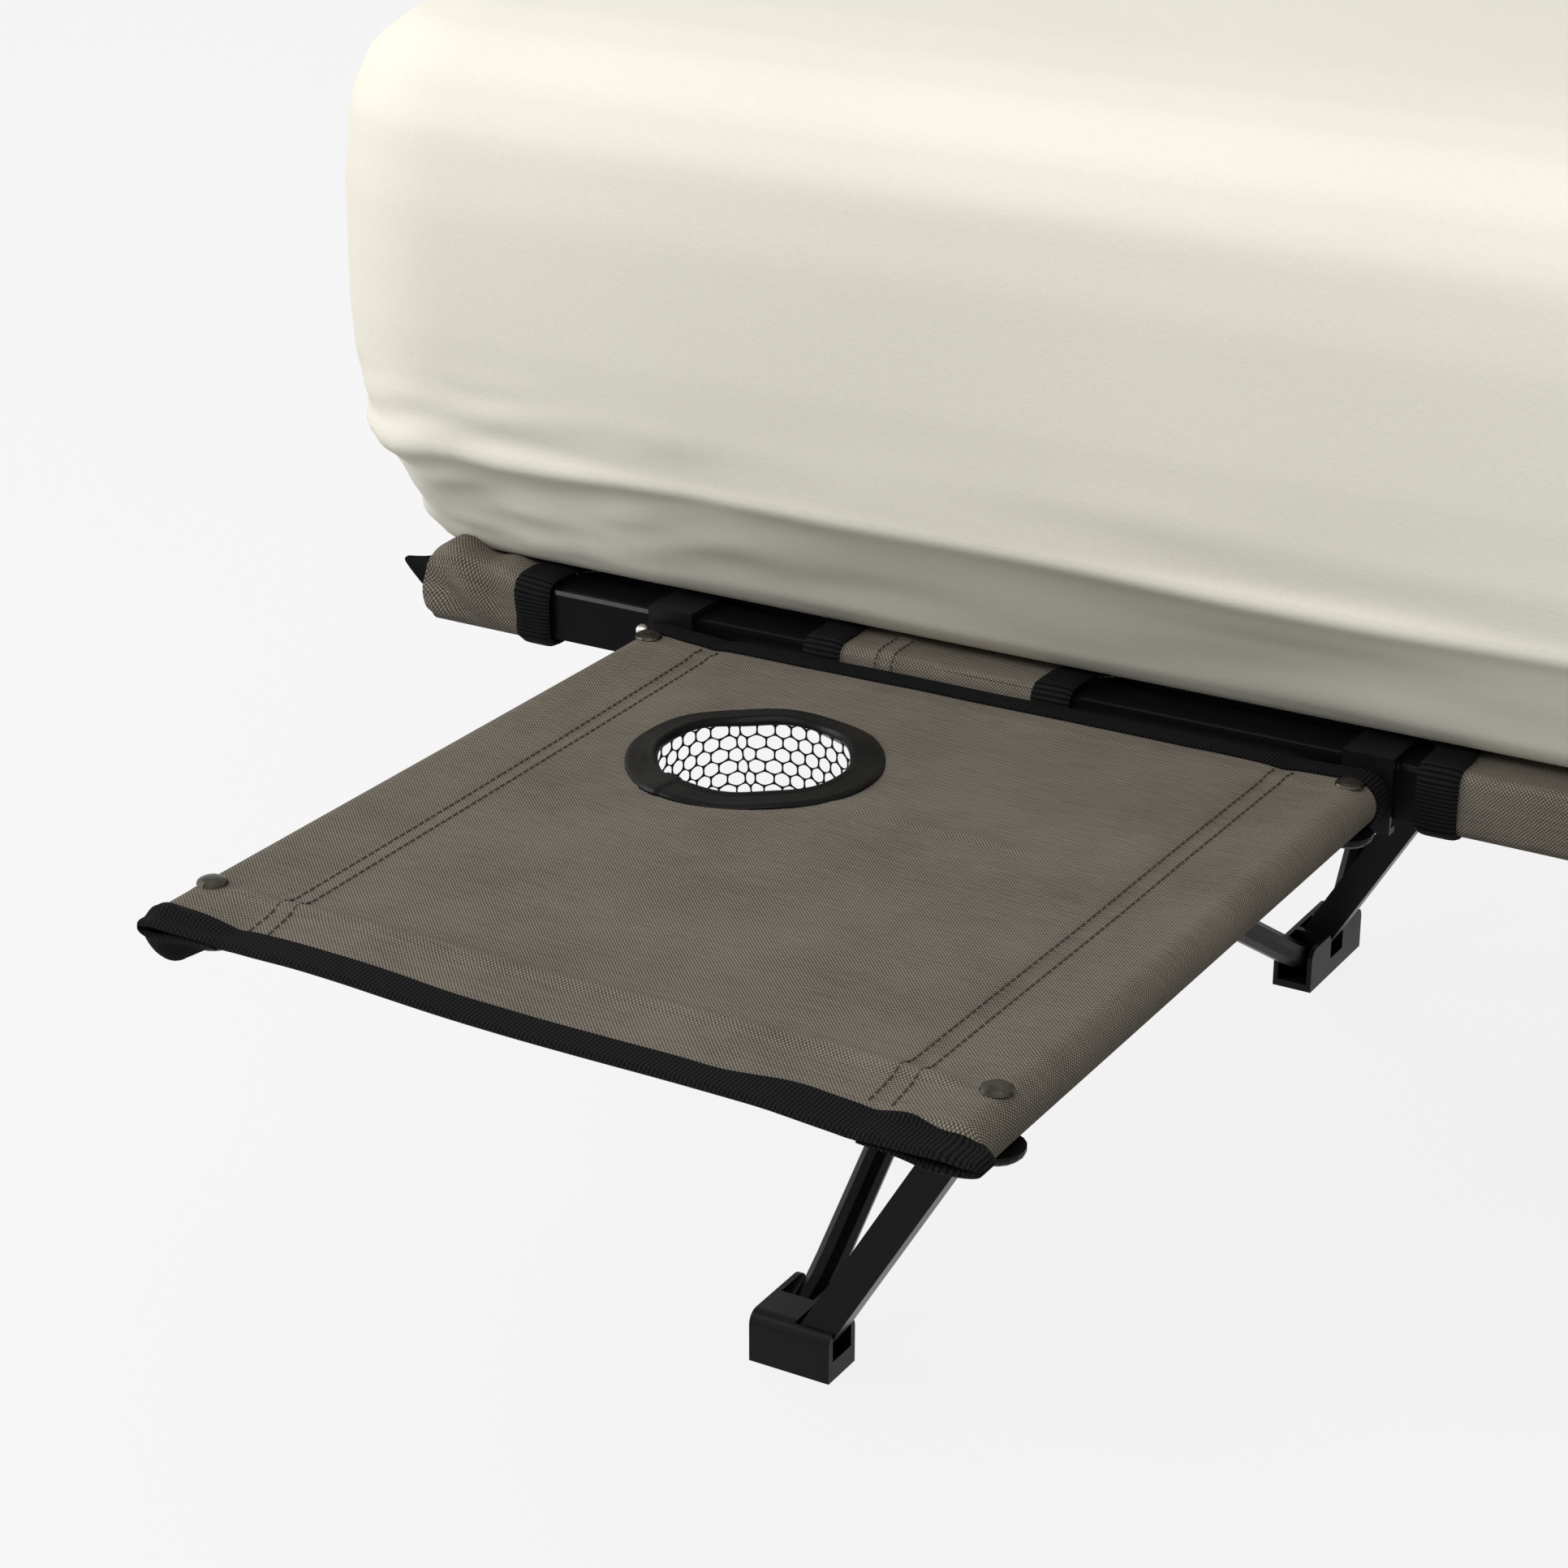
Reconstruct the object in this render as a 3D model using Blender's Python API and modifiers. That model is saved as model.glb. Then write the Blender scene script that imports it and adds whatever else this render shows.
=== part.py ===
# Airbed cot: a folding steel frame with a sewn deck, an airbed in a fitted cover and a hook-on side table.
# Metres, +Z up. The origin is on the floor under the middle of the cot, at the centre foot.
# +X runs along the side rails to the foot end, and the side table hangs on the near rail, at -Y.
import bpy
import bmesh
from math import acos, atan2, cos, pi, radians, sin, sqrt, tan
from mathutils import Matrix, Vector

# Gap between pieces that touch, and how far a cutter runs past a face
FIT = 0.0003
PAST = 0.01

# Rails, square steel tube, in two halves that plug together
RAIL_LENGTH = 1.905
RAIL_SIZE = 0.022
RAIL_WALL = 0.0015
RAIL_TOP = 0.348
RAIL_Y = 0.499
SPIGOT_REACH = 0.060
SPIGOT_ROOT = 0.030
WELD_SHARES = (0.2, 0.8)

# Sewn deck, with a sleeve along each side rail and windows that bare the rail
DECK_LENGTH = 1.911
CLOTH = 0.0015
WINDOW_DEPTH = 0.0175
HEM_PLACE = 0.021
HEM_WIDTH = 0.026
LEG_WINDOW = (-0.0825, 0.0470)
BRACE_WINDOW_START = 0.1625
HOOK_ROOM = 0.012

# Leg sets: the place of each centre foot, and the way that the set leans
LEG_SETS = {"head": (-0.740, -1), "middle": (0.0, -1), "foot": (0.740, 1)}
FOOT_STAGGER = 0.028
PIVOT_OUTBOARD = 0.075
PIVOT_DROP = 0.014
LATTICE_RADIUS = 0.0075
LATTICE_WALL = 0.0012
FOOT_ANGLE = radians(24)
FOOT_RUN = 0.0175
BEND_REACH = 0.012
BEND_ROUNDING = 0.25
TUBE_BESIDE = 0.019
EYE_RADIUS = 0.0085
EYE_LENGTH = 0.018
EYE_OFFSET = 0.0040
EYE_ROOM = 0.008
PIVOT_RADIUS = 0.0030
PIVOT_REACH = 0.0140
CROSS_RIVET = 0.0025
CROSS_HEAD = 0.00475
CROSS_HEAD_HEIGHT = 0.0020
RUNNING = 0.0003

# Foot hubs, moulded
HUB_WIDTH = 0.022
HUB_HEIGHT = 0.0245
HUB_ARM = 0.023
HUB_CORNER = 0.0060
CHANNEL_FLOOR = 0.0040
CHANNEL_ROOM = 0.0008
HUB_CHEEK = 0.0035
HUB_PIN_Z = 0.018
HUB_PIN = 0.0025

# Diagonal braces, square steel tube with a fork at the tip
BRACE_SIZE = 0.016
BRACE_WALL = 0.0015
BRACE_ANGLE = radians(59.6)
STUD_DROP = 0.012
STUD_RADIUS = 0.0030
FORK_SLOT = 0.0036
FORK_TIP = 0.0055
CHEEK = 0.0024
LUG_LENGTH = 0.014

# Side table
TABLE_LEFT = -0.8345
TABLE_WIDTH = 0.310
TABLE_TOP = 0.3443
TABLE_CLOTH = 0.0010
TABLE_TUBE = 0.0080
TABLE_TUBE_WALL = 0.0012
TABLE_REACH = 0.328
CLOTH_OVERHANG = 0.012
EDGE_GAP = 0.0015
RIVET_INSET = 0.0190
RIVET_SPAN = 0.287
RIVET_RADIUS = 0.00575
RIVET_HEIGHT = 0.0024
SHANK_RADIUS = 0.0020
KNOB_RADIUS = 0.0100
KNOB_HEIGHT = 0.0055
KNOB_EDGE = 0.0012
SEAM_INSET = 0.029
BINDING_WIDTH = 0.011
BINDING_THICK = 0.0008
BINDING_INSET = 0.006
HOOK_WIDTH = 0.021
HOOK_PLATE = 0.0025
HOOK_FACE_GAP = 0.0009
HOOK_LIP = 0.0065
HOOK_JAW = 0.0028
HOOK_JAW_GAP = 0.0040
HOOK_PLUG = 0.022

# Cup holder in the table
CUP_X = 0.1045
CUP_Y = 0.1065
CUP_HOLE = 0.040
RIM_OUTER = 0.050
RIM_INNER = 0.037
RIM_FLANGE = 0.0015
POCKET_DEPTH = 0.082
POCKET_TAPER = 0.004
POCKET_WALL = 0.0010

# Airbed and its fitted cover
BED_HALF_LENGTH = 1.022
BED_HALF_WIDTH = 0.530
BED_CORNER = 0.085
LEAST_CORNER = 0.012
BED_HEIGHT = 0.240
BED_WALL = 0.0010
COVER_WALL = 0.0012
COVER_HEM = 0.060
COVER_LIFT = 0.0025
CORNER_STEPS = 6
CROWN_RINGS = ((0.080, 0.0062), (0.180, 0.0026), (0.320, 0.0))

# Valve in the foot end of the airbed
VALVE_Y = -0.320
VALVE_HEIGHT = 0.133
VALVE_BORE = 0.0120
VALVE_NECK = 0.0150
VALVE_FLANGE = 0.0235
VALVE_PLATE = 0.0030
CAP_RADIUS = 0.0190
CAP_PLATE = 0.0030
CAP_HINGE_RISE = 0.0235
CAP_PIN = 0.0012
CAP_KNUCKLE = 0.0026
COVER_PORT = 0.0290
PORT_DEPTH = 0.040
NECK_LENGTH = 0.0180
EAR_INNER = 0.0035
EAR_OUTER = 0.0060
TONGUE_HALF = 0.0030
RIM_SHARE = 0.8

RAIL_BOTTOM = RAIL_TOP - RAIL_SIZE
RAIL_CENTRE = RAIL_TOP - RAIL_SIZE / 2
PIVOT_Z = RAIL_BOTTOM - PIVOT_DROP
STUD_Z = RAIL_BOTTOM - STUD_DROP
BRACE_LENGTH = (STUD_Z - HUB_PIN_Z) / sin(BRACE_ANGLE)
BRACE_SPAN = BRACE_LENGTH * cos(BRACE_ANGLE)
SLOT_HALF = BRACE_SIZE / 2 + FIT
TOWER_HALF = SLOT_HALF + HUB_CHEEK
LUG_FACE = RAIL_SIZE / 2 + FIT + CLOTH
DECK_TOP = RAIL_TOP + FIT + CLOTH
TABLE_Y = -(RAIL_Y + RAIL_SIZE / 2 + FIT + HOOK_PLATE)
HEAD_PIVOT = LEG_SETS["head"][0] + LEG_SETS["head"][1] * PIVOT_OUTBOARD
HOOKS_END = TABLE_LEFT + TABLE_WIDTH + HOOK_WIDTH / 2
BRACE_WINDOW = (BRACE_WINDOW_START, HOOKS_END + HOOK_ROOM - HEAD_PIVOT)


# Clear the scene and make the collections
for stale in list(bpy.data.objects):
    bpy.data.objects.remove(stale, do_unlink=True)
cot = bpy.data.collections.new("airbed_cot")
cutters = bpy.data.collections.new("cutters")
bpy.context.scene.collection.children.link(cot)
bpy.context.scene.collection.children.link(cutters)


def material(name, colour, roughness, metallic=0.0):
    """A Principled material with the piece's colour and finish."""
    made = bpy.data.materials.new(name)
    made.use_nodes = True
    shader = made.node_tree.nodes["Principled BSDF"]
    shader.inputs["Base Color"].default_value = (*colour, 1.0)
    shader.inputs["Roughness"].default_value = roughness
    shader.inputs["Metallic"].default_value = metallic
    return made


FRAME_STEEL = ("frame_steel", (0.012, 0.012, 0.013), 0.35, 0.6)
HUB_PLASTIC = ("hub_plastic", (0.010, 0.010, 0.011), 0.5, 0.0)
TAUPE_CLOTH = ("taupe_cloth", (0.125, 0.110, 0.092), 0.9, 0.0)
BLACK_WEBBING = ("black_webbing", (0.012, 0.012, 0.013), 0.85, 0.0)
BLACK_MESH = ("black_mesh", (0.015, 0.015, 0.016), 0.7, 0.0)
CREAM_COVER = ("cream_cover", (0.72, 0.71, 0.64), 0.95, 0.0)
AIRBED_VINYL = ("airbed_vinyl", (0.10, 0.12, 0.16), 0.45, 0.0)
ANTIQUE_METAL = ("antique_metal", (0.09, 0.08, 0.06), 0.3, 1.0)


def place(piece, name, finish, collection=cot):
    """Name a piece, move it to its collection and give it its own material."""
    piece.name = name
    for holder in list(piece.users_collection):
        holder.objects.unlink(piece)
    collection.objects.link(piece)
    if finish:
        piece.data.materials.clear()
        piece.data.materials.append(material(name, *finish[1:]))
    return piece


def cutter(piece, name):
    """Keep a piece only as a cutter or as a shape to be joined on."""
    place(piece, name, None, cutters)
    piece.hide_render = True
    piece.display_type = "WIRE"
    return piece


def box(low, high):
    """A cuboid from its low corner to its high corner."""
    low, high = Vector(low), Vector(high)
    bpy.ops.mesh.primitive_cube_add(size=1.0, location=(low + high) / 2)
    piece = bpy.context.object
    piece.data.transform(Matrix.Diagonal((*(high - low), 1.0)))
    return piece


def rod(start, end, radius, sides=16):
    """A solid round rod between two points."""
    start, end = Vector(start), Vector(end)
    reach = end - start
    bpy.ops.mesh.primitive_cylinder_add(vertices=sides, radius=radius, depth=reach.length)
    piece = bpy.context.object
    turn = Vector((0, 0, 1)).rotation_difference(reach.normalized()).to_matrix().to_4x4()
    piece.data.transform(turn)
    piece.location = (start + end) / 2
    return piece


def meshed(piece):
    """Turn a curve object into a mesh object with its caps welded on."""
    view = bpy.context.evaluated_depsgraph_get()
    view.update()
    data = bpy.data.meshes.new_from_object(piece.evaluated_get(view))
    work = bmesh.new()
    work.from_mesh(data)
    bmesh.ops.remove_doubles(work, verts=work.verts, dist=0.00001)
    work.to_mesh(data)
    work.free()
    made = bpy.data.objects.new(piece.name, data)
    made.matrix_world = piece.matrix_world
    bpy.context.scene.collection.objects.link(made)
    bpy.data.objects.remove(piece, do_unlink=True)
    return made


def bent_rod(points, radius, resolution):
    """A solid round rod along a list of points."""
    data = bpy.data.curves.new("route", "CURVE")
    data.dimensions = "3D"
    data.bevel_depth = radius
    data.bevel_resolution = resolution
    data.use_fill_caps = True
    spline = data.splines.new("POLY")
    spline.points.add(len(points) - 1)
    for knot, place_ in zip(spline.points, points):
        knot.co = (*place_, 1.0)
    piece = bpy.data.objects.new("route", data)
    bpy.context.scene.collection.objects.link(piece)
    return meshed(piece)


def plate(outlines, thickness):
    """A flat plate in its local XY plane: the first outline is its edge, the others are holes."""
    data = bpy.data.curves.new("outline", "CURVE")
    data.dimensions = "2D"
    data.fill_mode = "BOTH"
    data.extrude = thickness / 2
    for outline in outlines:
        spline = data.splines.new("POLY")
        spline.points.add(len(outline) - 1)
        for knot, (u, v) in zip(spline.points, outline):
            knot.co = (u, v, 0.0, 1.0)
        spline.use_cyclic_u = True
    piece = bpy.data.objects.new("outline", data)
    bpy.context.scene.collection.objects.link(piece)
    return meshed(piece)


# Turns of a flat plate: local (u, v) becomes world (x, z) or world (y, z)
TO_XZ = Matrix(((1, 0, 0, 0), (0, 0, -1, 0), (0, 1, 0, 0), (0, 0, 0, 1)))
TO_YZ = Matrix(((0, 0, 1, 0), (1, 0, 0, 0), (0, 1, 0, 0), (0, 0, 0, 1)))


def stand(piece, turn, location):
    """Stand a flat plate up and put it in its place."""
    piece.data.transform(turn)
    piece.location = location
    return piece


def arc(centre, radius, start, end, steps):
    """Points of an arc, both ends included."""
    turns = [start + (end - start) * i / steps for i in range(steps + 1)]
    return [(centre[0] + radius * cos(a), centre[1] + radius * sin(a)) for a in turns]


def turned(profile, steps=32):
    """A turned shape about Z, from a profile that runs from the top of its axis down its outer side."""
    data = bpy.data.meshes.new("profile")
    closed = profile[0][0] > 0
    edges = [(i, i + 1) for i in range(len(profile) - 1)]
    if closed:
        edges.append((len(profile) - 1, 0))
    data.from_pydata([(r, 0.0, z) for r, z in profile], edges, [])
    piece = bpy.data.objects.new("profile", data)
    bpy.context.scene.collection.objects.link(piece)
    screw = piece.modifiers.new("turn", "SCREW")
    screw.steps = steps
    screw.render_steps = steps
    screw.use_merge_vertices = True
    screw.merge_threshold = 0.00001
    return piece


def boolean(piece, tool, operation):
    """Add one Boolean step."""
    step = piece.modifiers.new(operation.lower(), "BOOLEAN")
    step.operation = operation
    step.solver = "EXACT"
    step.object = tool
    return piece


def cut(piece, tool, name):
    return boolean(piece, cutter(tool, name), "DIFFERENCE")


def join(piece, tool, name):
    return boolean(piece, cutter(tool, name), "UNION")


def rail_half(side_name, end_name, y):
    """Half of a rail, a square tube; the foot half carries the spigot that plugs into the head half."""
    half = RAIL_SIZE / 2
    bore = half - RAIL_WALL
    end = RAIL_LENGTH / 2
    name = f"{side_name}_rail_{end_name}"
    if end_name == "head":
        rail = box((-end, y - half, RAIL_BOTTOM), (-FIT / 2, y + half, RAIL_TOP))
        tools = box((-end - PAST, y - bore, RAIL_CENTRE - bore), (PAST, y + bore, RAIL_CENTRE + bore))
        return cut(place(rail, name, FRAME_STEEL), tools, name + "_bore")
    rail = place(box((FIT / 2, y - half, RAIL_BOTTOM), (end, y + half, RAIL_TOP)), name, FRAME_STEEL)
    low, high = (FIT / 2 - PAST, y - bore, RAIL_CENTRE - bore), (end + PAST, y + bore, RAIL_CENTRE + bore)
    cut(rail, box(low, high), name + "_bore")
    spigot = bore - FIT
    low, high = (-SPIGOT_REACH, y - spigot, RAIL_CENTRE - spigot), (SPIGOT_ROOT, y + spigot, RAIL_CENTRE + spigot)
    join(rail, box(low, high), name + "_spigot")
    ring = bore + RAIL_WALL / 2
    low = (SPIGOT_ROOT * WELD_SHARES[0], y - ring, RAIL_CENTRE - ring)
    high = (SPIGOT_ROOT * WELD_SHARES[1], y + ring, RAIL_CENTRE + ring)
    join(rail, box(low, high), name + "_weld")
    core = spigot - RAIL_WALL
    low = (-SPIGOT_REACH - PAST, y - core, RAIL_CENTRE - core)
    high = (SPIGOT_ROOT + PAST, y + core, RAIL_CENTRE + core)
    cut(rail, box(low, high), name + "_spigot_bore")
    return rail


def leg_places(foot_x, lean):
    """Where one leg set's pivot and feet are along X. The lean is -1 where the pivot is on the -X side."""
    pivot = foot_x + lean * PIVOT_OUTBOARD
    side_foot = foot_x + lean * FOOT_STAGGER
    return pivot, {0: foot_x, -1: side_foot, 1: side_foot}


def add_pivot_lug(rail, name, x, y, sides):
    """The block under a rail that holds the leg set, with a pin on each side that has a leg tube."""
    wide = LUG_FACE if len(sides) == 2 else RAIL_SIZE / 2
    low, high = y - wide, y + wide
    for side in sides:
        if side > 0:
            high = y + LUG_FACE
        else:
            low = y - LUG_FACE
    block = box((x - LUG_LENGTH / 2, low, PIVOT_Z - PIVOT_RADIUS * 2.2),
                (x + LUG_LENGTH / 2, high, RAIL_BOTTOM + RAIL_WALL / 2))
    join(rail, block, name + "_lug")
    for side in sides:
        face = y + side * LUG_FACE
        tip = face + side * PIVOT_REACH
        pin = rod((x, face - side * PIVOT_RADIUS, PIVOT_Z), (x, tip, PIVOT_Z), PIVOT_RADIUS, 12)
        join(rail, pin, f"{name}_pin_{side}")


def add_stud(rail, name, x, y):
    """Two cheeks under a rail with a stud across them, for the fork of a brace."""
    inner = BRACE_SIZE / 2 + FIT
    outer = inner + CHEEK
    bottom = STUD_Z - STUD_RADIUS * 2
    for side in (-1, 1):
        edges = sorted((y + side * inner, y + side * outer))
        cheek = box((x - LUG_LENGTH / 2, edges[0], bottom),
                    (x + LUG_LENGTH / 2, edges[1], RAIL_BOTTOM + RAIL_WALL / 2))
        join(rail, cheek, f"{name}_cheek_{side}")
    join(rail, rod((x, y - outer, STUD_Z), (x, y + outer, STUD_Z), STUD_RADIUS, 12), name + "_stud")


def rails():
    """The two side rails and the spine, with the lugs and studs of every leg set."""
    lines = {"near": -RAIL_Y, "spine": 0.0, "far": RAIL_Y}
    for side_name, y in lines.items():
        halves = {"head": rail_half(side_name, "head", y), "foot": rail_half(side_name, "foot", y)}
        inward = {"near": (1,), "spine": (-1, 1), "far": (-1,)}[side_name]
        for set_name, (foot_x, lean) in LEG_SETS.items():
            pivot, feet = leg_places(foot_x, lean)
            row = 0 if side_name == "spine" else 1
            stud = feet[row] - lean * BRACE_SPAN
            name = f"{side_name}_{set_name}"
            add_pivot_lug(halves["head" if pivot < 0 else "foot"], name, pivot, y, inward)
            add_stud(halves["head" if stud < 0 else "foot"], name, stud, y)


def deck():
    """The sewn deck: a sheet with a sleeve round each side rail, a folded hem and windows in the sleeves."""
    room = RAIL_SIZE / 2 + FIT
    outside = RAIL_Y + room + CLOTH
    inside = RAIL_Y - room - CLOTH
    low, high = RAIL_BOTTOM - FIT - CLOTH, DECK_TOP
    under = high - CLOTH
    hem_out, hem_in = RAIL_Y - HEM_PLACE, RAIL_Y - HEM_PLACE - HEM_WIDTH
    hem_top = high + COVER_LIFT - FIT
    edge = [(-outside, high), (-outside, low), (-inside, low), (-inside, under),
            (inside, under), (inside, low), (outside, low), (outside, high),
            (hem_out, high), (hem_out, hem_top), (hem_in, hem_top), (hem_in, high),
            (-hem_in, high), (-hem_in, hem_top), (-hem_out, hem_top), (-hem_out, high)]
    holes = []
    for side in (-1, 1):
        y = side * RAIL_Y
        holes.append([(y - room, low + CLOTH), (y + room, low + CLOTH), (y + room, under), (y - room, under)])
    sheet = stand(plate([edge] + holes, DECK_LENGTH), TO_YZ, (0, 0, 0))
    sheet = place(sheet, "deck_cloth", TAUPE_CLOTH)
    inner_edge = RAIL_Y - WINDOW_DEPTH
    for set_name, (foot_x, lean) in LEG_SETS.items():
        pivot, _ = leg_places(foot_x, lean)
        for kind, span in (("leg", LEG_WINDOW), ("brace", BRACE_WINDOW)):
            ends = sorted(pivot - lean * distance for distance in span)
            for side in (-1, 1):
                across = sorted((side * inner_edge, side * (outside + PAST)))
                hole = box((ends[0], across[0], low - PAST), (ends[1], across[1], high + PAST))
                cut(sheet, hole, f"deck_{set_name}_{kind}_window_{side}")
    return sheet


def lattice_route(x_foot, y_foot, toward, x_top, y_top):
    """A leg tube's centre line: out of its foot's channel at a low angle, then straight up to its pivot."""
    start_y = y_foot + toward * (TOWER_HALF + LATTICE_RADIUS / 2)
    start = Vector((x_foot, start_y, CHANNEL_FLOOR + LATTICE_RADIUS + FIT))
    bend = start + Vector((0, toward * FOOT_RUN, FOOT_RUN * tan(FOOT_ANGLE)))
    top = Vector((x_top, y_top, PIVOT_Z))
    return start, bend, top


def along(a, b, distance):
    """The point at a distance from a toward b."""
    return a + (b - a).normalized() * distance


def lattice_tube(name, route, pivot):
    """A round steel leg tube with a bored eye at its top end."""
    start, bend, top = route
    near_bend = along(bend, start, BEND_REACH)
    past_bend = along(bend, top, BEND_REACH)
    path = [start, near_bend, bend + (near_bend + past_bend - 2 * bend) * BEND_ROUNDING, past_bend, top]
    tube = place(bent_rod(path, LATTICE_RADIUS, 3), name, FRAME_STEEL)
    core = [along(start, near_bend, -PAST / 2)] + path[1:4] + [along(top, past_bend, EYE_RADIUS + EYE_ROOM)]
    cut(tube, bent_rod(core, LATTICE_RADIUS - LATTICE_WALL, 2), name + "_core")
    half = EYE_LENGTH / 2
    eye = rod((pivot, top.y - half, PIVOT_Z), (pivot, top.y + half, PIVOT_Z), EYE_RADIUS, 16)
    join(tube, eye, name + "_eye")
    mouth = 1 if top.y > start.y else -1
    face = top.y + mouth * half
    blind = face - mouth * (PIVOT_REACH + FIT)
    ends = ((pivot, blind, PIVOT_Z), (pivot, face + mouth * PAST, PIVOT_Z))
    return cut(tube, rod(*ends, PIVOT_RADIUS + RUNNING, 12), name + "_eye_bore")


def crossing(first, second):
    """The nearest points of two leg tubes, one on each centre line."""
    a, d = first[1], first[2] - first[1]
    b, e = second[1], second[2] - second[1]
    w = a - b
    dd, ee, de, dw, ew = d.dot(d), e.dot(e), d.dot(e), d.dot(w), e.dot(w)
    scale = dd * ee - de * de
    return a + d * ((de * ew - ee * dw) / scale), b + e * ((dd * ew - de * dw) / scale)


def hub_block(x, low, high):
    """A block of a hub from one Y to another, with its top corners rounded."""
    top = HUB_HEIGHT - HUB_CORNER
    outline = [(low, 0.0), (high, 0.0)]
    outline += arc((high - HUB_CORNER, top), HUB_CORNER, 0.0, pi / 2, 5)
    outline += arc((low + HUB_CORNER, top), HUB_CORNER, pi / 2, pi, 5)
    return stand(plate([outline], HUB_WIDTH), TO_YZ, (x, 0, 0))


def hub(name, x, y, arms, lean):
    """A moulded foot: a slotted block with the brace's pin, and an arm with a channel for each leg tube."""
    block = place(hub_block(x, y - TOWER_HALF, y + TOWER_HALF), name, HUB_PLASTIC)
    for toward, route in arms.items():
        ends = sorted((y - toward * TOWER_HALF, y + toward * (TOWER_HALF + HUB_ARM)))
        join(block, hub_block(route[0].x, *ends), f"{name}_arm_{toward}")
    for toward, route in arms.items():
        tube_x = route[0].x
        room = LATTICE_RADIUS + CHANNEL_ROOM
        ends = sorted((y + toward * (TOWER_HALF + FIT), y + toward * (TOWER_HALF + HUB_ARM + PAST)))
        channel = box((tube_x - room, ends[0], CHANNEL_FLOOR), (tube_x + room, ends[1], HUB_HEIGHT + PAST))
        cut(block, channel, f"{name}_channel_{toward}")
    back = x + lean * (BRACE_SIZE / 2 + FIT)
    front = x - lean * (HUB_WIDTH / 2 + PAST)
    ends = sorted((back, front))
    floor = HUB_PIN_Z - BRACE_SIZE / 2 - FIT
    slot = box((ends[0], y - SLOT_HALF, floor), (ends[1], y + SLOT_HALF, HUB_HEIGHT + PAST))
    cut(block, slot, name + "_slot")
    reach = SLOT_HALF + HUB_CHEEK / 2
    pin = rod((x, y - reach, HUB_PIN_Z), (x, y + reach, HUB_PIN_Z), HUB_PIN, 12)
    return join(block, pin, name + "_pin")


def brace(name, x, y, lean):
    """A square steel brace: a round end on the foot's pin and an open fork on the rail's stud."""
    half = BRACE_SIZE / 2
    tip = BRACE_LENGTH + FORK_TIP
    edge = [(0.0, -half), (tip, -half), (tip, -FORK_SLOT)]
    edge += arc((BRACE_LENGTH, 0.0), FORK_SLOT, -pi / 2, -3 * pi / 2, 8)
    edge += [(tip, FORK_SLOT), (tip, half), (0.0, half)]
    edge += arc((0.0, 0.0), half, pi / 2, 3 * pi / 2, 8)[1:-1]
    angle = BRACE_ANGLE if lean < 0 else pi - BRACE_ANGLE
    turn = Matrix.Rotation(-angle, 4, "Y")
    bar = stand(plate([edge], BRACE_SIZE), turn @ TO_XZ, (x, y, HUB_PIN_Z))
    bar = place(bar, name, FRAME_STEEL)
    inner = half - BRACE_WALL
    core = box((half * 1.6, -inner, -inner), (tip + PAST, inner, inner))
    core.data.transform(turn @ core.matrix_world)
    core.location = (x, y, HUB_PIN_Z)
    cut(bar, core, name + "_core")
    hole = rod((x, y - half - PAST, HUB_PIN_Z), (x, y + half + PAST, HUB_PIN_Z), HUB_PIN + RUNNING, 12)
    return cut(bar, hole, name + "_hole")


def leg_set(set_name, foot_x, lean):
    """Three foot hubs, four crossing leg tubes and three braces."""
    pivot, feet = leg_places(foot_x, lean)
    eye_y = LUG_FACE + EYE_LENGTH / 2 + FIT
    arms = {-1: {}, 0: {}, 1: {}}
    for side, side_name in ((-1, "near"), (1, "far")):
        beside = feet[side] + lean * TUBE_BESIDE
        outer = lattice_route(beside, side * RAIL_Y, -side, pivot - lean * EYE_OFFSET, side * eye_y)
        inner = lattice_route(feet[0], 0.0, side, pivot + lean * EYE_OFFSET, side * (RAIL_Y - eye_y))
        arms[side][-side] = outer
        arms[0][side] = inner
        out_name = f"{set_name}_leg_{side_name}_outer"
        in_name = f"{set_name}_leg_{side_name}_inner"
        outer_tube = lattice_tube(out_name, outer, pivot)
        inner_tube = lattice_tube(in_name, inner, pivot)
        on_outer, on_inner = crossing(outer, inner)
        toward = (on_outer - on_inner).normalized()
        far_face = on_outer + toward * (LATTICE_RADIUS + FIT)
        pin = rod(on_inner, far_face + toward * CROSS_HEAD_HEIGHT / 2, CROSS_RIVET, 10)
        head = rod(far_face, far_face + toward * CROSS_HEAD_HEIGHT, CROSS_HEAD, 12)
        reach = toward * (LATTICE_RADIUS + PAST / 2)
        hole = rod(on_outer - reach, on_outer + reach, CROSS_RIVET + RUNNING, 10)
        cut(outer_tube, hole, out_name + "_rivet_hole")
        collar = rod(on_inner, on_outer - toward * (LATTICE_RADIUS + FIT), CROSS_HEAD, 12)
        join(inner_tube, collar, in_name + "_collar")
        join(inner_tube, pin, in_name + "_rivet")
        join(inner_tube, head, in_name + "_rivet_head")
    for side, hub_name in ((-1, "near"), (0, "centre"), (1, "far")):
        y = side * RAIL_Y
        hub(f"{set_name}_foot_{hub_name}", feet[side], y, arms[side], lean)
        brace(f"{set_name}_brace_{hub_name}", feet[side], y, lean)


def table_sides():
    """The X of the two side tubes, with the side that faces away from the table."""
    return (("left", TABLE_LEFT, -1), ("right", TABLE_LEFT + TABLE_WIDTH, 1))


def rivet_rows():
    """The Y of the two rivet rows, inner and outer."""
    inner = TABLE_Y - RIVET_INSET + HOOK_PLATE
    return (("inner", inner), ("outer", inner - RIVET_SPAN))


TUBE_Z = TABLE_TOP - TABLE_CLOTH - FIT - TABLE_TUBE


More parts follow.
